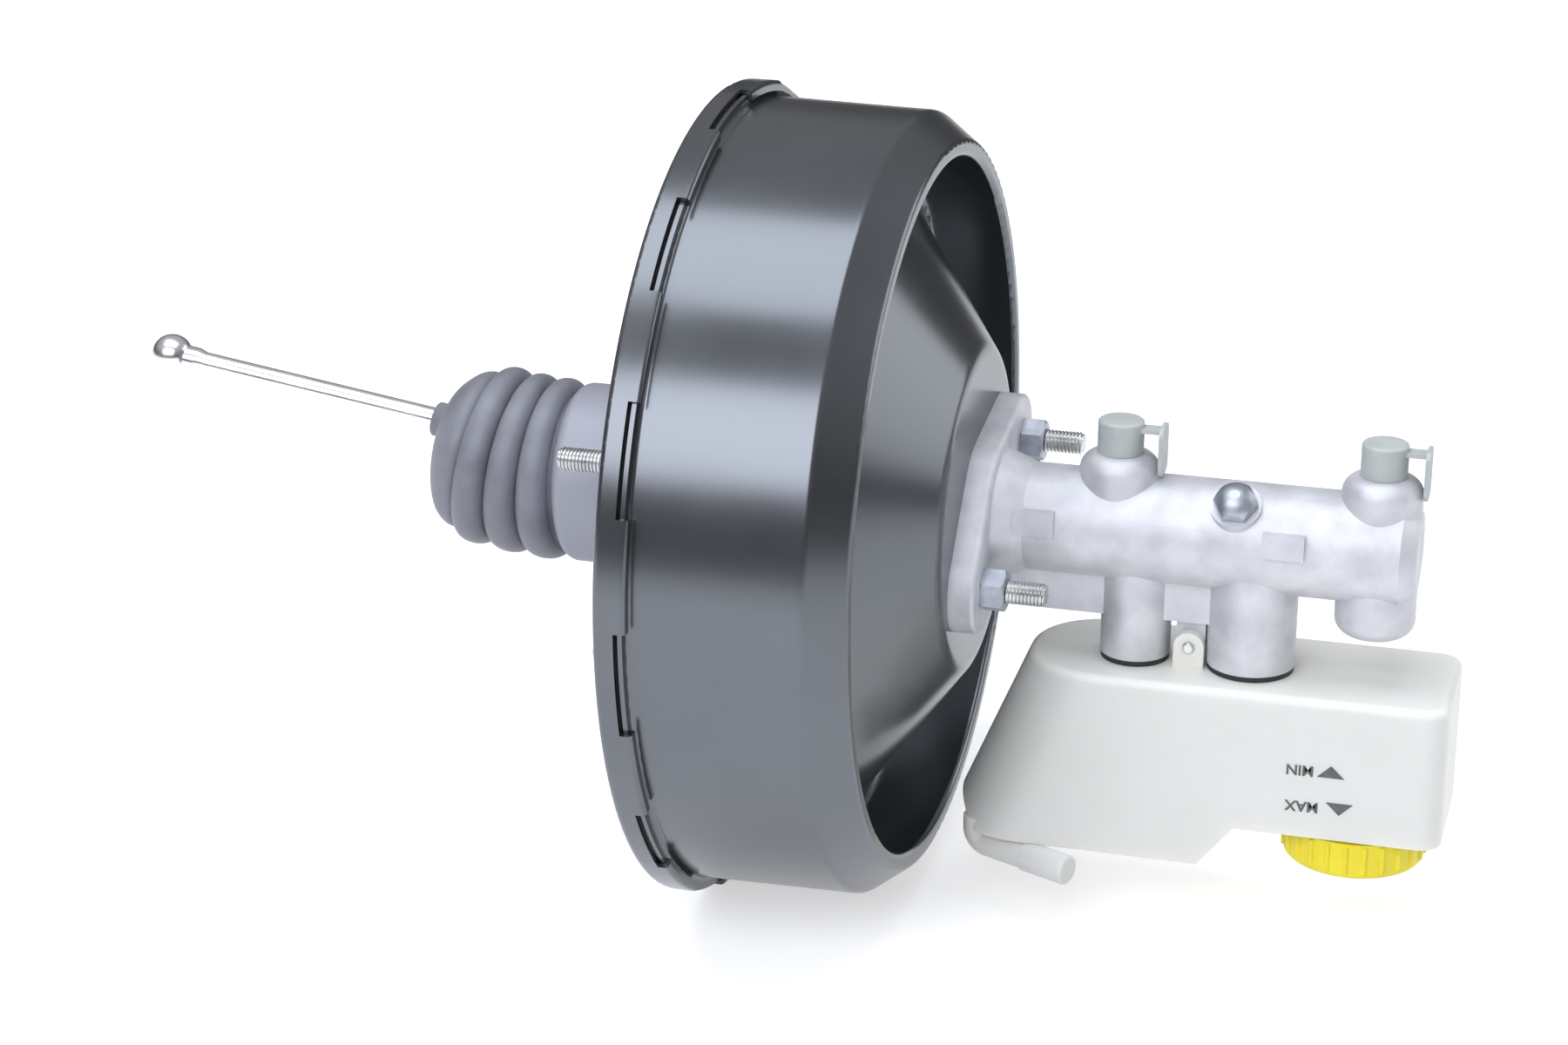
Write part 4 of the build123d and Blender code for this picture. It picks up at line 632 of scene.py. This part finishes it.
def level_arrow(name, base, point, x, z):
    """A printed triangle; base and point are its heights about (x, z), in mm."""
    corners = ((-ARROW_HALF, base), (ARROW_HALF, base), (0, point))
    mesh = bpy.data.meshes.new(name)
    verts = [((x + px) * MM, TANK_SIDE_Y - PRINT_DEPTH, (z + pz) * MM) for px, pz in corners]
    verts += [((x + px) * MM, TANK_SIDE_Y + PRINT_DEPTH, (z + pz) * MM) for px, pz in corners]
    sides = [(i, i + 3, (i + 1) % 3 + 3, (i + 1) % 3) for i in range(3)]
    mesh.from_pydata(verts, [], [(0, 1, 2), (5, 4, 3)] + sides)
    print_on_tank(bpy.data.objects.new(name, mesh))


def level_word(word, x, z):
    """Printed letters, their middle at (x, z) in mm."""
    name = f"{word.lower()}_letters"
    letters = bpy.data.curves.new(name, "FONT")
    letters.body = word
    letters.size = LETTER_SIZE
    letters.extrude = PRINT_DEPTH
    letters.offset = LETTER_WEIGHT
    letters.align_x = "CENTER"
    letters.align_y = "CENTER"
    text = bpy.data.objects.new(name, letters)
    text.matrix_world = Matrix.Translation((x * MM, TANK_SIDE_Y, z * MM)) @ LETTER_TURN
    print_on_tank(text)


level_arrow("min_arrow", base=-2.0, point=2.4, x=234.7, z=-72.2)
level_arrow("max_arrow", base=2.0, point=-2.4, x=238.1, z=-85.2)
level_word("MIN", x=224.3, z=-72.4)
level_word("MAX", x=225.6, z=-85.6)

# ---- Cap -----------------------------------------------------------------------------------------
# Injection-moulded yellow screw cap with a ribbed grip; a rubber ring inside it seals the neck.

cap_plastic = surface_finish(
    "yellow_cap_plastic", dark=(0.86, 0.70, 0.02), light=(0.95, 0.82, 0.03),
    patch=14, roughness=(0.28, 0.40), grain=0.6, depth=0.01,
)
dress(cap_plastic, "reservoir_cap")

# ---- Rubber and plastic small parts --------------------------------------------------------------
# Seals, cups, grommets and valve rubbers moulded in black rubber; guides and valve bodies moulded
# in dark nylon.

seal_rubber = surface_finish(
    "black_seal_rubber", dark=(0.018, 0.018, 0.018), light=(0.030, 0.030, 0.031),
    patch=12, roughness=(0.45, 0.65), grain=0.4, depth=0.01,
)
dress(
    seal_rubber, "reservoir_grommets", "check_valve_grommet", "check_valve_disc", "neck_seal",
    "primary_cups", "secondary_cups", "cylinder_o_ring", "control_valve", "reaction_disc", "cap_seal",
)
dark_nylon = surface_finish(
    "dark_moulded_nylon", dark=(0.030, 0.028, 0.026), light=(0.048, 0.045, 0.042),
    patch=18, roughness=(0.35, 0.5), grain=0.6, depth=0.012,
)
dress(dark_nylon, "valve_body", "valve_plunger", "neck_bearing", "guide_bush", "check_valve_body")

# ---- Diaphragm -----------------------------------------------------------------------------------
# Moulded rubber sheet, 2 mm thick, behind the steel plate. Its bead is held in the drum's crimp
# and it has one deep fold. Sizes here are in mm.

SHEET_HALF = 1.0
SHEET_SIDES = 96
FOLD_TOP = 42.1
FOLD_MIDDLE_R = 126.1
FOLD_BEND = 6.8
FOLD_BEND_STEPS = 6
BEAD_X = 20.25
BEAD_R = 136.65
BEAD_WIRE = 2.9
BEAD_POINTS = 16
# Middle lines as (x, radius): the web from the hub out to the fold, and the fold's outer limb.
WEB_LINE = (
    (6.0, 30.9), (6.0, 50.0), (6.0, 73.0), (6.4, 75.5), (7.4, 78.2), (12.0, 92.0), (16.0, 106.0),
    (18.2, 113.5), (19.2, 116.6), (20.6, 118.7), (22.6, 119.3), (28.0, 119.3),
)
OUTER_LIMB = ((28.0, 132.9), (22.0, 132.9), (20.2, 133.3), (19.4, 134.3), (19.4, 136.0))


def turned_ring(x, r):
    """A ring of points about X, in metres."""
    return [
        (x * MM, r * MM * cos(2 * pi * j / SHEET_SIDES), r * MM * sin(2 * pi * j / SHEET_SIDES))
        for j in range(SHEET_SIDES)
    ]


def rubber_sheet(name, middle):
    """A turned sheet of rubber about X, from its middle line."""
    outer = []
    inner = []
    for i, (x, r) in enumerate(middle):
        before = Vector(middle[max(0, i - 1)])
        after = Vector(middle[min(len(middle) - 1, i + 1)])
        way = (after - before).normalized() * SHEET_HALF
        outer.append((x - way.y, r + way.x))
        inner.insert(0, (x + way.y, r - way.x))
    return skin_rings(name, [turned_ring(x, r) for x, r in outer + inner], closed=True)


def fold_bend(turn):
    """Middle line round the top of the fold; turn 0 is its inner side and pi its outer one."""
    return FOLD_TOP - FOLD_BEND + FOLD_BEND * sin(turn), FOLD_MIDDLE_R - FOLD_BEND * cos(turn)


quarter = [pi / 2 * step / FOLD_BEND_STEPS for step in range(FOLD_BEND_STEPS + 1)]
inner_bend = [fold_bend(turn) for turn in quarter]
outer_bend = [fold_bend(pi / 2 + turn) for turn in quarter]
diaphragm_web = rubber_sheet("diaphragm_web", [*WEB_LINE, *inner_bend])
diaphragm_fold = rubber_sheet("diaphragm_fold", [*outer_bend, *OUTER_LIMB])
bead_turns = [2 * pi * i / BEAD_POINTS for i in range(BEAD_POINTS)]
diaphragm_bead = skin_rings(
    "diaphragm_bead",
    [turned_ring(BEAD_X + BEAD_WIRE * cos(turn), BEAD_R + BEAD_WIRE * sin(turn)) for turn in bead_turns],
    closed=True,
)
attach(diaphragm_bead, "housing")
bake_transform(diaphragm_fold)
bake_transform(diaphragm_web)
for piece in (diaphragm_web, diaphragm_fold, diaphragm_bead):
    piece.data.materials.append(seal_rubber)
    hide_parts("diaphragm")

# ---- Springs -------------------------------------------------------------------------------------
# Coiled spring wire with a closed turn at each end: the main spring inside the front shell, one in
# front of each piston and a small one in the check valve.

COIL_STEPS = 24
WIRE_SIDES = 10
CLOSED_PITCH = 2.1

spring_steel = surface_finish(
    "spring_steel", dark=(0.20, 0.20, 0.21), light=(0.34, 0.34, 0.35),
    patch=8, roughness=(0.25, 0.42), grain=0.3, depth=0.005, metallic=1.0,
)


def coil_spring(node_name, wire, turns, body):
    """A compression spring along X in place of a CAD node."""
    low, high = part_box(node_name)
    middle = (low + high) / 2
    coil = (high.z - low.z) / 2 - wire
    closed = CLOSED_PITCH * wire
    free = (high.x - low.x - 2 * wire - 2 * closed) / (turns - 2)
    section = [2 * pi * j / WIRE_SIDES for j in range(WIRE_SIDES)]
    rings = []
    for step in range(turns * COIL_STEPS + 1):
        turned = step / COIL_STEPS
        x = low.x + wire + closed * (min(turned, 1) + max(turned - turns + 1, 0))
        x += free * min(max(turned - 1, 0), turns - 2)
        across = Vector((0, sin(2 * pi * turned), cos(2 * pi * turned)))
        rings.append([
            Vector((x + wire * sin(angle), middle.y, middle.z)) + across * (coil + wire * cos(angle))
            for angle in section
        ])
    spring = skin_rings(f"{node_name}_coils", rings)
    spring.data.materials.append(spring_steel)
    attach(spring, body)
    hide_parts(node_name)
    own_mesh(spring)


coil_spring("return_spring", 1.6 * MM, 6, "housing")
coil_spring("primary_spring", 1.1 * MM, 5, "secondary_piston")
coil_spring("secondary_spring", 1.1 * MM, 5, "housing")
coil_spring("check_valve_spring", 0.35 * MM, 4, "housing")
dress(spring_steel, "poppet_spring")

# ---- Inner plates, clips and pistons -------------------------------------------------------------
# Pressed and turned steel parts, zinc plated, and the two anodised aluminium pistons. The housing
# hides them until it is taken apart.

dress(
    zinc, "stud_plate", "snap_ring", "diaphragm_plate", "stop_key", "output_rod", "output_rod_retainer",
    "control_valve_retainer",
)
bore_aluminium = surface_finish(
    "anodised_aluminium", dark=(0.55, 0.52, 0.42), light=(0.66, 0.62, 0.50),
    patch=14, roughness=(0.22, 0.35), grain=0.3, depth=0.003, metallic=1.0,
)
dress(bore_aluminium, "primary_piston", "secondary_piston")

# ---- Air filter and silencer ---------------------------------------------------------------------
# Needled felt rings in the valve body's tail, which clean and quieten the air drawn in past the
# rod.

felt = surface_finish(
    "filter_felt", dark=(0.22, 0.21, 0.19), light=(0.34, 0.33, 0.30),
    patch=4, roughness=(0.8, 0.95), grain=0.25, depth=0.12,
)
dress(felt, "air_filter", "air_silencer")
